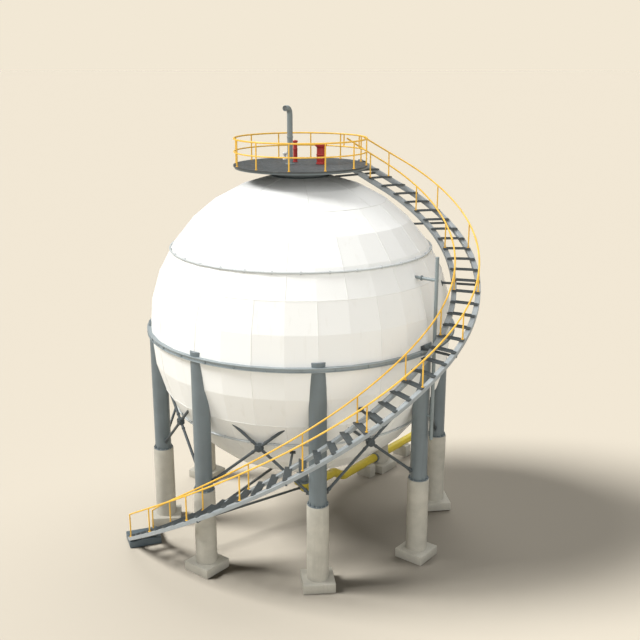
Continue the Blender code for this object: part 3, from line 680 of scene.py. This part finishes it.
def girder():
    """The ring girder as a box beam with lips, web stiffeners and bolted splices."""
    bm = bmesh.new()
    inner = TANK_RADIUS - 0.04
    outer = GIRDER_OUTER_RADIUS - 0.012
    web = outer - 0.05
    half = GIRDER_HEIGHT / 2
    clear = half - GIRDER_LIP
    outline = ((inner, -half), (outer, -half), (outer, -clear), (web, -clear),
               (web, clear), (outer, clear), (outer, half), (inner, half))
    ring_bar(bm, outline, TANK_CENTRE, 160)
    for k in range(4 * COLUMNS):
        angle = column_angle((k + 0.5) / 4)
        plate(bm, (0.014, 2 * clear, 0.05),
              place(polar(outer - 0.027, angle, TANK_CENTRE), direction(angle)), 0.003)
    for number in range(COLUMNS):
        angle = column_angle(number + 0.5)
        out = direction(angle)
        middle = polar(outer - 0.042, angle, TANK_CENTRE)
        plate(bm, (0.34, 2 * clear - 0.01, 0.014), place(middle, out), 0.003)
        for across in (-0.12, -0.05, 0.05, 0.12):
            for row in (-0.028, 0.028):
                bolt(bm, middle + sideways(out) * across + UP * row + out * 0.007, out, 0.013)
    piece("girder_finished", bm, GIRDER_GREY, ("equator_girder",))


# Legs.


def out_of_shell(point):
    """Move a point that lies inside the shell out to just under the shell's surface."""
    flat = (point - AXIS).xy
    limit = shell_radius_at(point.z) * cos(pi / PLATES_AROUND) - 0.01
    if flat.length < limit:
        return on_axis(point.z) + (flat.normalized() * limit).to_3d()
    return point


def column(number, bolts):
    """A tube column with its cope against the shell, weld bands, base ring and gussets."""
    angle = column_angle(number)
    foot = polar(COLUMN_RING_RADIUS, angle, PIER_TOP)
    rise = COLUMN_TOP - PIER_TOP
    bm = bmesh.new()
    outline = [(0.0, 0.0)] + [(COLUMN_RADIUS, height) for height in spread(0.0, rise, 44)[:-1]]
    outline += [(COLUMN_RADIUS, rise - COLUMN_TOP_EASE), (COLUMN_RADIUS - COLUMN_TOP_EASE, rise),
                (0.0, rise)]
    turned(bm, outline, place(foot, UP, angle), 48)
    for vert in bm.verts:
        vert.co = out_of_shell(vert.co)
    bmesh.ops.remove_doubles(bm, verts=bm.verts, dist=0.0005)
    inner = COLUMN_RADIUS - 0.02
    rim = PIER_RADIUS - 0.015
    ring = ((inner, 0.001), (rim - 0.005, 0.001), (rim, 0.006), (rim, BASE_RING_THICKNESS - 0.004),
            (rim - 0.005, BASE_RING_THICKNESS), (inner, BASE_RING_THICKNESS))
    turned(bm, ring, place(foot), 48)
    for share in COLUMN_WELD_SHARES:
        height = rise * share
        band = ((COLUMN_RADIUS - 0.002, height - 0.014), (COLUMN_RADIUS + 0.004, height - 0.007),
                (COLUMN_RADIUS + 0.004, height + 0.007), (COLUMN_RADIUS - 0.002, height + 0.014))
        if shell_radius_at(PIER_TOP + height) < COLUMN_RING_RADIUS - COLUMN_RADIUS:
            turned(bm, band, place(foot), 48)
    ring_top = foot + UP * BASE_RING_THICKNESS
    for turn in turns(ANCHOR_BOLTS):
        reach = direction(angle + turn)
        low = ring_top + reach * (COLUMN_RADIUS - 0.004)
        tip = low + reach * GUSSET_REACH
        slab(bm, (low, tip, tip + UP * 0.02, low + UP * GUSSET_HEIGHT), sideways(reach) * 0.005)
    finished(f"column_{number + 1}", bm, STEEL_GREY)
    bolt_ring(bolts, ring_top, UP, COLUMN_RADIUS + 0.036, ANCHOR_BOLTS, 0.017)


def pier(number):
    """A round concrete pier with an eased top and cast joints, on its square footing."""
    angle = column_angle(number)
    foot = polar(COLUMN_RING_RADIUS, angle, 0.0)
    bm = bmesh.new()
    groove = PIER_RADIUS - 0.006
    top = PIER_TOP - 0.0005
    outline = [(0.0, FOOTING_HEIGHT - 0.05), (PIER_RADIUS, FOOTING_HEIGHT - 0.05)]
    for joint in PIER_JOINTS:
        outline += [(PIER_RADIUS, joint - 0.010), (groove, joint), (PIER_RADIUS, joint + 0.010)]
    outline += [(PIER_RADIUS, PIER_TOP - 0.022), (PIER_RADIUS - 0.006, PIER_TOP - 0.007),
                (PIER_RADIUS - 0.022, top), (0.0, top)]
    turned(bm, outline, place(foot, UP, angle), 64)
    plate(bm, (FOOTING_SIDE, FOOTING_SIDE, FOOTING_HEIGHT),
          place(foot + UP * FOOTING_HEIGHT / 2, UP, angle), 0.020)
    finished(f"pier_{number + 1}", bm, CONCRETE, PIER_SMOOTH_ANGLE)


def legs():
    bolts = bmesh.new()
    for number in range(COLUMNS):
        column(number, bolts)
        pier(number)
    piece("anchor_bolts", bolts, ZINC)


def brace(number):
    """Crossed rods with a bolted hub and clevis plates on the columns, run into the shell above."""
    bm = bmesh.new()
    middle_angle = column_angle(number + 0.5)
    out = direction(middle_angle)
    hub = polar(COLUMN_RING_RADIUS * cos(COLUMN_SPACING / 2), middle_angle, BRACE_HUB_HEIGHT)
    for end in (number, number + 1):
        foot = polar(COLUMN_RING_RADIUS, column_angle(end), BRACE_FOOT_HEIGHT)
        along = (hub - foot).normalized()
        low = foot + along * (COLUMN_RADIUS / sqrt(1 - along.z ** 2) - 0.03)
        tube(bm, (low, hub + (hub - foot) * BRACE_HEAD_SHARE), BRACE_RADIUS, 20)
        flange(bm, low + along * 0.16, along, BRACE_RADIUS + 0.022, 0.10, 24)
        plate(bm, BRACE_CLEVIS, place(low + along * 0.06, out), 0.005)
        for side in (-BRACE_SLEEVE_DISTANCE, BRACE_SLEEVE_DISTANCE):
            flange(bm, hub + along * (side - 0.03), along, BRACE_RADIUS + 0.014, 0.06, 24)
    half = out * BRACE_HUB_LENGTH / 2
    drum(bm, hub - half, out, BRACE_HUB_RADIUS, BRACE_HUB_LENGTH, 0.018, 40)
    for side in (-1, 1):
        bolt_ring(bm, hub + half * side, out * side, BRACE_HUB_RADIUS * 0.66, 6, 0.017)
        gusset = hub + sideways(out) * side * (BRACE_HUB_RADIUS + 0.01)
        plate(bm, (0.05, 0.10, 0.016), place(gusset, out), 0.004)
    bolt(bm, hub + half, out, 0.035)
    finished(f"brace_{number + 1}", bm, DARK_STEEL)


# Top works.


def neck():
    """The neck with its foot ring, bolted head flange and ribs."""
    foot = TANK_CENTRE + sqrt(TANK_RADIUS ** 2 - NECK_RADIUS ** 2) - 0.06
    rise = PLATFORM_UNDERSIDE - foot
    under_flange = rise - NECK_FLANGE_THICKNESS
    bm = bmesh.new()
    outline = ((0.0, 0.0), (NECK_RADIUS + 0.13, 0.0), (NECK_RADIUS + 0.13, 0.045), (NECK_RADIUS, 0.060),
               (NECK_RADIUS, under_flange), (NECK_RADIUS + 0.07, under_flange), (NECK_RADIUS + 0.07, rise),
               (0.0, rise))
    turned(bm, rounded(outline, 0.008), place(on_axis(foot)), 96)
    bolt_ring(bm, on_axis(PLATFORM_UNDERSIDE - NECK_FLANGE_THICKNESS), -UP, NECK_RADIUS + 0.042, 32, 0.014)
    for angle in turns(16):
        spot = polar(NECK_RADIUS + 0.03, angle, PLATFORM_UNDERSIDE - 0.18)
        plate(bm, NECK_RIB, place(spot, direction(angle)), 0.003)
    piece("neck_finished", bm, STEEL_GREY, ("top_neck",))


def deck():
    bm = bmesh.new()
    drum(bm, on_axis(PLATFORM_UNDERSIDE), UP, PLATFORM_RADIUS, PLATFORM_THICKNESS, 0.010, 128)
    piece("platform_finished", bm, DECK_PLATE, ("top_platform",))


def beams():
    """Tapered brackets from the neck below each post, and two ring beams under the deck."""
    bm = bmesh.new()
    for turn in turns(RAIL_POSTS):
        angle = RAIL_POST_ANGLE + turn
        inner = polar(NECK_RADIUS - 0.01, angle, PLATFORM_UNDERSIDE)
        outer = polar(PLATFORM_RADIUS - 0.06, angle, PLATFORM_UNDERSIDE)
        corners = (inner, outer, outer - UP * 0.06, inner - UP * 0.16)
        slab(bm, corners, sideways(direction(angle)) * 0.035)
    for radius in (MIDDLE_BEAM_RADIUS, PLATFORM_RADIUS - 0.07):
        inner, outer = radius - 0.02, radius + 0.02
        ring_bar(bm, ((inner, 0.0), (outer, 0.0), (outer, -0.07), (inner, -0.07)), PLATFORM_UNDERSIDE, 96)
    piece("platform_beams", bm, STEEL_GREY)


def deck_joints():
    """Raised strips over the deck's joints, and the bolts that hold the deck to its ring beams."""
    bm = bmesh.new()
    for k in range(-3, 4):
        across = k * DECK_PLATE_WIDTH
        half = sqrt((PLATFORM_RADIUS - 0.05) ** 2 - across ** 2)
        plate(bm, (0.028, 2 * half, 0.003), place(on_deck((across, 0.0)) + UP * 0.0015), 0.001)
    for angle in turns(16, 0.5):
        for radius in (PLATFORM_RADIUS - 0.16, MIDDLE_BEAM_RADIUS):
            bolt(bm, polar(radius, angle, PLATFORM_TOP), UP, 0.010)
    piece("deck_joints", bm, DARK_STEEL)


def post(bm, foot, top):
    """A post with a welded foot plate and four small bolts."""
    tube(bm, (foot, top), POST_RADIUS, 16)
    flange(bm, foot, UP, POST_RADIUS + 0.030, 0.010, 24)
    bolt_ring(bm, foot + UP * 0.010, UP, POST_RADIUS + 0.017, 4, 0.006)


def on_rail(angle, height):
    return polar(RAIL_RING_RADIUS, angle, height)


def rails(bm, first, last):
    """The top and middle rail of the platform's railing between two angles."""
    angles = spread(first, last, round((last - first) / RAIL_STEP))
    for height, radius in ((RAIL_TOP, RAIL_RADIUS), (RAIL_MIDDLE, POST_RADIUS)):
        tube(bm, [on_rail(angle, height) for angle in angles], radius, 16)


def railing():
    """The platform's railing on twelve posts, and the lift-out section between two of them."""
    start = RAIL_POST_ANGLE
    bay = tau / RAIL_POSTS
    bm = bmesh.new()
    rails(bm, start + bay, start + tau)
    for number in range(RAIL_POSTS):
        angle = start + bay * number
        post(bm, on_rail(angle, PLATFORM_TOP), on_rail(angle, RAIL_TOP))
        flange(bm, on_rail(angle, RAIL_MIDDLE - 0.035), UP, POST_RADIUS + 0.008, 0.07, 20)
    for angle in (start, start + bay):
        drum(bm, on_rail(angle, RAIL_TOP - 0.034), UP, RAIL_CAP_RADIUS, 0.062, 0.012, 24)
    finished("platform_railing", bm, RAIL_YELLOW)

    bm = bmesh.new()
    inset = RAIL_CAP_RADIUS / RAIL_RING_RADIUS
    rails(bm, start + inset, start + bay - inset)
    for angle in (start + GUARD_UPRIGHT_INSET, start + bay - GUARD_UPRIGHT_INSET):
        tube(bm, (on_rail(angle, RAIL_MIDDLE), on_rail(angle, RAIL_TOP)), POST_RADIUS, 16)
    finished("entry_guard", bm, RAIL_YELLOW)


# Stair.


def tread_angle(tread):
    return TREAD_ZERO_ANGLE - tread * TREAD_ANGLE


def tread_top(tread):
    return TREAD_ZERO_TOP - tread * TREAD_RISE


def stair_radius(tread):
    """The stair's inner line: upright below the middle, then over the ball, then straight in."""
    rise = tread_top(tread) - TANK_CENTRE
    if rise <= 0.0:
        return STAIR_INNER_RADIUS
    round_rise = min(rise, STRAIGHT_RUN_HEIGHT)
    radius = sqrt(STAIR_INNER_RADIUS ** 2 - round_rise ** 2)
    return radius - (rise - round_rise) * STRAIGHT_RUN_HEIGHT / radius


def stair_point(tread, across, height=0.0):
    """A point on a tread's line, across from the inner line, above or below the tread's top."""
    return polar(stair_radius(tread) + across, tread_angle(tread), tread_top(tread) + height)


def stringer(bm, first, last, across):
    """A curved box stringer with eased corners, held above the base and below the deck."""
    half = STRINGER_WIDTH / 2
    ease = 0.012
    top = -TREAD_THICKNESS / 2
    bottom = top - STRINGER_DEPTH
    outline = ((-half + ease, bottom), (half - ease, bottom), (half, bottom + ease), (half, top - ease),
               (half - ease, top), (-half + ease, top), (-half, top - ease), (-half, bottom + ease))
    sections = []
    for tread in spread(first, last, round((last - first) * 3)):
        section = [stair_point(tread, across + offset, height) for offset, height in outline]
        for point in section:
            point.z = max(point.z, BASE_HEIGHT)
            if (point - AXIS).xy.length < PLATFORM_RADIUS:
                point.z = min(point.z, PLATFORM_UNDERSIDE)
        sections.append(section)
    loft(bm, sections)


def tread_plate(bm, tread):
    """A folded tread plate with turned-down edges and raised anti-slip ribs."""
    inner = stair_point(tread, -TREAD_OVERHANG)
    outer = stair_point(tread, STAIR_WIDTH + TREAD_OVERHANG)
    length = (outer - inner).length
    base = place((inner + outer) / 2, UP, tread_angle(tread))
    shift = Matrix.Translation
    fold = TREAD_THICKNESS - RIB_HEIGHT
    middle = -RIB_HEIGHT - TREAD_THICKNESS / 2
    top = base @ shift((0, 0, -RIB_HEIGHT - TREAD_SHEET / 2))
    plate(bm, (length, TREAD_DEPTH, TREAD_SHEET), top, 0.002)
    for side in (-1, 1):
        edge = side * (TREAD_DEPTH - TREAD_SHEET) / 2
        plate(bm, (length, TREAD_SHEET, fold), base @ shift((0, edge, middle)), 0.002)
        edge = side * (length - TREAD_SHEET) / 2
        plate(bm, (TREAD_SHEET, TREAD_DEPTH - 2 * TREAD_SHEET, fold), base @ shift((edge, 0, middle)), 0.002)
    for k in range(RIBS):
        rib = base @ shift((0, (k - (RIBS - 1) / 2) * RIB_SPACING, -RIB_HEIGHT / 2))
        size = Matrix.Diagonal((length - 0.06, 0.008, RIB_HEIGHT, 1.0))
        bmesh.ops.create_cube(bm, size=1.0, matrix=rib @ size)


def splice(bm, tread, across):
    """Bolted splice plates on both sides of a stringer where two flights meet."""
    middle = stair_point(tread, across, -TREAD_THICKNESS / 2 - STRINGER_DEPTH / 2)
    ahead = (stair_point(tread + 0.2, across) - stair_point(tread - 0.2, across)).normalized()
    out = direction(tread_angle(tread))
    out = (out - ahead * out.dot(ahead)).normalized()
    basis = Matrix((ahead, ahead.cross(out), out)).transposed().to_4x4()
    for side in (-1, 1):
        centre = middle + out * side * (STRINGER_WIDTH / 2 + 0.004)
        plate(bm, SPLICE_PLATE, Matrix.Translation(centre) @ basis, 0.003)
        for step in (-0.11, -0.04, 0.04, 0.11):
            bolt(bm, centre + ahead * step + out * side * 0.006, out * side, 0.012)


def bracket(bm, tread):
    """A square bar from a pad on the shell, or the outlet, to beyond the outer stringer."""
    height = tread_top(tread) - BRACKET_DROP
    angle = tread_angle(tread)
    surface_radius = shell_radius_at(height) if height > TANK_CENTRE - TANK_RADIUS else 0.0
    on_shell = surface_radius > 0.5
    inner = surface_radius - 0.02 if on_shell else OUTLET_RADIUS - 0.04
    outer = stair_radius(tread) + STAIR_WIDTH + STRINGER_WIDTH / 2
    plate(bm, (outer - inner, BRACKET_SIZE, BRACKET_SIZE),
          place(polar((inner + outer) / 2, angle, height), UP, angle), 0.008)
    if on_shell:
        seat = polar(surface_radius, angle, height)
        normal = off_shell(seat)
        plate(bm, BRACKET_PAD, place(seat - normal * 0.012, normal), 0.008)
    else:
        flange(bm, polar(inner, angle, height), direction(angle), 0.075, 0.030, 24)


def handrail(side, number, across, first, last):
    """One flight's rail and posts, drawn as one smooth line with sleeve joints."""
    start = FIRST_TREAD if first == FIRST_TREAD else first - 0.5
    end = LAST_TREAD if last == LAST_TREAD else last + 0.5
    bm = bmesh.new()
    runs = [(spread(start, end, round((end - start) * 2)), RAIL_RADIUS)]
    if last != LAST_TREAD:
        runs.append(((end - 0.18, end, end + 0.18), RAIL_RADIUS + 0.006))
    for run, radius in runs:
        tube(bm, [stair_point(tread, across, HANDRAIL_HEIGHT) for tread in run], radius, 16)
    for tread in range(first, last + 1):
        if tread > 0 and tread % HANDRAIL_POST_EVERY == 1:
            post(bm, stair_point(tread, across), stair_point(tread, across, HANDRAIL_HEIGHT))
    finished(f"{side}_handrail_{number}", bm, RAIL_YELLOW)


def stair():
    for number, first in enumerate(range(FIRST_TREAD, LAST_TREAD, FLIGHT_TREADS), start=1):
        last = min(first + FLIGHT_TREADS - 1, LAST_TREAD)
        start = STRINGER_START if number == 1 else first - 0.5
        end = STRINGER_END if last == LAST_TREAD else last + 0.5
        flight = f"stair_flight_{number}"
        bm = bmesh.new()
        for across in (0.0, STAIR_WIDTH):
            stringer(bm, start, end, across)
            if last != LAST_TREAD:
                splice(bm, end, across)
        finished(flight, bm, STAIR_GREY)
        bm = bmesh.new()
        for tread in range(first, last + 1):
            tread_plate(bm, tread)
            if tread % BRACKET_EVERY == 0:
                bracket(bm, tread)
        piece(f"stair_treads_{number}", bm, TREAD_DARK, (flight,))
        handrail("inner", number, 0.0, first, last)
        handrail("outer", number, STAIR_WIDTH, first, last)


def stair_base():
    """The dark box at the stair's foot."""
    centre = polar((BASE_INNER_RADIUS + BASE_OUTER_RADIUS) / 2, BASE_ANGLE, BASE_HEIGHT / 2)
    bm = bmesh.new()
    plate(bm, (BASE_OUTER_RADIUS - BASE_INNER_RADIUS, BASE_WIDTH, BASE_HEIGHT),
          place(centre, UP, BASE_ANGLE), 0.018)
    finished("stair_base", bm, BASE_DARK)


# Fittings.


def bend(corner, before, after, radius, steps=10):
    """Points of a round bend at a corner between two directions."""
    before = before.normalized()
    after = after.normalized()
    turn = before.angle(after)
    start = corner - before * radius * tan(turn / 2)
    inward = (after - before * before.dot(after)).normalized()
    centre = start + inward * radius
    return [centre - inward * radius * cos(angle) + before * radius * sin(angle)
            for angle in spread(0.0, turn, steps)]


def vent():
    """The gooseneck vent with a flanged foot, an open end and a bird screen."""
    foot = on_deck(VENT_PLACE)
    out = direction(VENT_OUTLET_ANGLE)
    corner = foot + UP * VENT_RISE
    end = corner + out * (VENT_BEND + VENT_OUTLET_LENGTH)
    mouth = end - out * VENT_MOUTH
    bm = bmesh.new()
    tube(bm, [foot] + bend(corner, UP, out, VENT_BEND) + [mouth], VENT_RADIUS, 32)
    turned(bm, ((VENT_BORE, 0.0), (VENT_RADIUS, 0.0), (VENT_RADIUS, VENT_MOUTH - 0.006),
                (VENT_RADIUS - 0.004, VENT_MOUTH), (VENT_BORE + 0.003, VENT_MOUTH),
                (VENT_BORE, VENT_MOUTH - 0.004), (VENT_BORE, 0.0)), place(mouth, out), 32)
    for level in (0.0, 0.024):
        flange(bm, foot + UP * level, UP, 0.19, 0.022)
    bolt_ring(bm, foot + UP * 0.046, UP, 0.158, 8, 0.014)
    flange(bm, foot + UP * 1.02, UP, VENT_RADIUS + 0.012, 0.07)
    piece("vent_finished", bm, PIPE_GREY, ("vent_pipe",))

    bm = bmesh.new()
    screen = place(end - out * 0.02, out)
    for k in range(-5, 6):
        offset = k * 0.016
        half = sqrt(VENT_BORE ** 2 - offset ** 2)
        for first, second in (((offset, -half), (offset, half)), ((-half, offset), (half, offset))):
            tube(bm, (screen @ Vector((*first, 0.0)), screen @ Vector((*second, 0.0))), 0.002, 6)
    piece("vent_screen", bm, ZINC)


def fitting(name, spot, outline, ease, bolt_rings, finish):
    """A turned fitting on the deck. Its bolt rings give level, ring radius, count and bolt size."""
    foot = on_deck(spot)
    bm = bmesh.new()
    turned(bm, rounded(outline, ease), place(foot), 40)
    for level, ring_radius, count, size in bolt_rings:
        bolt_ring(bm, foot + UP * level, UP, ring_radius, count, size)
    finished(name, bm, finish)


def fittings():
    vent()
    fitting("large_relief_valve", LARGE_VALVE_PLACE, LARGE_VALVE_PROFILE, 0.007,
            ((0.05, 0.183, 12, 0.007), (0.785, 0.205, 12, 0.010)), VALVE_RED)
    fitting("small_relief_valve", SMALL_VALVE_PLACE, SMALL_VALVE_PROFILE, 0.007,
            ((0.03, 0.094, 8, 0.005),), VALVE_RED)
    fitting("level_gauge", GAUGE_PLACE, GAUGE_PROFILE, 0.005, ((0.03, 0.082, 6, 0.007),), GAUGE_WHITE)


def standpipe():
    """The upright pipe beside a column, with a flanged branch to the shell and a bar to the column."""
    angle = column_angle(STANDPIPE_COLUMN)
    out = direction(angle)
    line = polar(STANDPIPE_RING_RADIUS, angle, 0.0)
    bm = bmesh.new()
    length = STANDPIPE_TOP - STANDPIPE_FOOT
    drum(bm, line + UP * STANDPIPE_FOOT, UP, STANDPIPE_RADIUS, length, 0.012, 24)
    seat = polar(shell_radius_at(STANDPIPE_BRANCH), angle, STANDPIPE_BRANCH)
    tube(bm, (seat - out * 0.04, line + UP * STANDPIPE_BRANCH), STANDPIPE_BRANCH_RADIUS, 24)
    joint = seat + out * 0.26
    for offset in (-0.022, 0.002):
        flange(bm, joint + out * offset, out, 0.098, 0.020, 32)
    for side in (out, -out):
        bolt_ring(bm, joint + side * 0.022, side, 0.080, 8, 0.008)
    holder = polar(COLUMN_RING_RADIUS + COLUMN_RADIUS - 0.02, angle, STANDPIPE_HOLDER)
    tube(bm, (holder, line + UP * STANDPIPE_HOLDER), 0.05, 20)
    for height in (STANDPIPE_HOLDER, STANDPIPE_BRANCH, TANK_CENTRE - 0.45):
        flange(bm, line + UP * (height - 0.045), UP, STANDPIPE_RADIUS + 0.008, 0.09, 32)
    finished("standpipe", bm, PIPE_GREY)

    bm = bmesh.new()
    normal = off_shell(seat)
    flange(bm, seat - normal * 0.02, normal, 0.14, 0.032)
    piece("branch_pad", bm, SHELL_WHITE)


def nozzle():
    """The bottom nozzle with its pad under the shell and its bolted flange."""
    foot = on_axis(NOZZLE_BOTTOM)
    bm = bmesh.new()
    outline = ((0.0, 0.0), (NOZZLE_FLANGE_RADIUS, 0.0), (NOZZLE_FLANGE_RADIUS, NOZZLE_FLANGE_THICKNESS),
               (NOZZLE_RADIUS, NOZZLE_FLANGE_THICKNESS + 0.02), (NOZZLE_RADIUS, NOZZLE_RISE),
               (0.0, NOZZLE_RISE))
    turned(bm, rounded(outline, 0.006), place(foot), 48)
    flange(bm, on_axis(TANK_CENTRE - TANK_RADIUS - 0.02), UP, NOZZLE_RADIUS + 0.16, 0.05)
    bolt_ring(bm, foot + UP * NOZZLE_FLANGE_THICKNESS, UP, NOZZLE_BOLT_RADIUS, 16, 0.018)
    piece("nozzle_finished", bm, STEEL_GREY, ("bottom_nozzle",))


def outlet():
    """The outlet pipe: down, out over two saddles and through a pier, to its end flange."""
    out = direction(OUTLET_ANGLE)
    jog_start = polar(OUTLET_JOG_START, OUTLET_ANGLE, OUTLET_HIGH)
    jog_end = polar(OUTLET_JOG_END, OUTLET_ANGLE, OUTLET_LOW)
    jog = jog_end - jog_start
    elbow = bend(on_axis(OUTLET_HIGH), -UP, out, OUTLET_BEND)
    first_bend = bend(jog_start, out, jog, OUTLET_BEND, 5)
    second_bend = bend(jog_end, jog, out, OUTLET_BEND, 5)
    bm = bmesh.new()
    tube(bm, [on_axis(NOZZLE_BOTTOM)] + elbow + first_bend + second_bend
         + [polar(OUTLET_END, OUTLET_ANGLE, OUTLET_LOW)], OUTLET_RADIUS, 48)
    top = on_axis(NOZZLE_BOTTOM - NOZZLE_FLANGE_THICKNESS)
    flange(bm, top, UP, NOZZLE_FLANGE_RADIUS, NOZZLE_FLANGE_THICKNESS - 0.003)
    bolt_ring(bm, top, -UP, NOZZLE_BOLT_RADIUS, 16, 0.018)
    end = polar(OUTLET_END - OUTLET_FLANGE_THICKNESS, OUTLET_ANGLE, OUTLET_LOW)
    flange(bm, end, out, OUTLET_FLANGE_RADIUS, OUTLET_FLANGE_THICKNESS)
    bolt_ring(bm, end, -out, OUTLET_FLANGE_RADIUS - 0.035, 12, 0.016)
    low = OUTLET_RADIUS - 0.004
    high = OUTLET_RADIUS + 0.005
    for spot in (elbow[-1], first_bend[0], second_bend[-1]):
        turned(bm, ((low, -0.014), (high, -0.005), (high, 0.005), (low, 0.014)), place(spot, out), 48)
    piece("outlet_finished", bm, PIPE_YELLOW, ("outlet_pipe",))


def pier_sleeve():
    """Rings that close the gap round the outlet on both faces of the pier it runs through."""
    bm = bmesh.new()
    out = direction(OUTLET_ANGLE)
    centre = polar(COLUMN_RING_RADIUS, OUTLET_ANGLE, OUTLET_LOW)
    inner = OUTLET_RADIUS + 0.001
    outer = OUTLET_RADIUS + 0.05
    for side in (-1, 1):
        turned(bm, ((inner, 0.0), (outer, 0.0), (outer, 0.20), (inner, 0.20)),
               place(centre + out * side * (PIER_RADIUS - 0.18), out * side), 48)
    piece("pier_sleeve", bm, STEEL_GREY)


def saddles():
    top = OUTLET_LOW - OUTLET_RADIUS + SADDLE_SEAT_DEPTH
    for number, radius in enumerate(SADDLE_RADII, start=1):
        bm = bmesh.new()
        plate(bm, (SADDLE_LENGTH, SADDLE_WIDTH, top),
              place(polar(radius, OUTLET_ANGLE, top / 2), UP, OUTLET_ANGLE), 0.020)
        finished(f"pipe_saddle_{number}", bm, CONCRETE)


# Studio.


def lamps(floor):
    """Soft far lamps, each lighting either the floor alone or everything but the floor."""
    for name, azimuth, elevation, width, strength, floor_state in LAMPS:
        data = bpy.data.lights.new(name, "SUN")
        data.energy = strength
        data.angle = radians(width)
        item = add_object(name, data)
        turn_towards(item, direction(radians(azimuth), radians(elevation)))
        receivers = bpy.data.collections.new(name)
        receivers.objects.link(floor)
        receivers.collection_objects[0].light_linking.link_state = floor_state
        item.light_linking.receiver_collection = receivers


def studio_floor():
    mesh = bpy.data.meshes.new("floor")
    bm = bmesh.new()
    bmesh.ops.create_circle(bm, cap_ends=True, segments=96, radius=FLOOR_RADIUS)
    bm.to_mesh(mesh)
    bm.free()
    floor = add_object("floor", mesh)
    skin = Surface("studio_floor", 0.95)
    tone = skin.cloudy(FLOOR_COLOUR, 0.05, 3.0, (0.3, 0.7), 0.998, 1.0)
    fill(skin.tree, skin.shader, {"Base Color": tone, "Specular IOR Level": 0.0})
    mesh.materials.append(skin.material)
    return floor


def sky():
    """A flat backdrop for the camera, and a faint white sky for all other light."""
    world = bpy.data.worlds.new("studio")
    bpy.context.scene.world = world
    world.use_nodes = True
    tree = world.node_tree
    tree.nodes.clear()
    path = add_node(tree, "LightPath", {})
    seen = add_node(tree, "Background", {"Color": (*BACKGROUND, 1.0)})
    faint = add_node(tree, "Background", {"Color": (1.0, 1.0, 1.0, 1.0), "Strength": SKY_STRENGTH})
    chosen = add_node(tree, "MixShader", {"Fac": path.outputs["Is Camera Ray"], 1: faint.outputs[0],
                                          2: seen.outputs[0]})
    add_node(tree, "OutputWorld", {"Surface": chosen.outputs[0]})
    bpy.context.scene.view_settings.view_transform = "Standard"


def camera():
    """The camera at the photographed angle, aimed at the ball's centre and then panned."""
    data = bpy.data.cameras.new("camera")
    data.sensor_width = 36.0
    data.lens = data.sensor_width / 2 / tan(CAMERA_FOV / 2)
    data.clip_end = 4 * FLOOR_RADIUS
    item = add_object("camera", data)
    centre = on_axis(TANK_CENTRE)
    item.location = centre + direction(CAMERA_AZIMUTH, CAMERA_ELEVATION) * CAMERA_DISTANCE
    ahead = (centre - item.location).normalized()
    right = ahead.cross(UP).normalized()
    above = right.cross(ahead)
    look = (ahead * cos(CAMERA_PAN) * cos(CAMERA_TILT)
            + right * sin(CAMERA_PAN) * cos(CAMERA_TILT) + above * sin(CAMERA_TILT))
    turn_towards(item, -look)
    bpy.context.scene.camera = item


plates()
welds()
hoops()
girder()
legs()
for number in range(COLUMNS):
    brace(number)
neck()
deck()
beams()
deck_joints()
railing()
stair()
stair_base()
fittings()
standpipe()
nozzle()
outlet()
pier_sleeve()
saddles()
lamps(studio_floor())
sky()
camera()
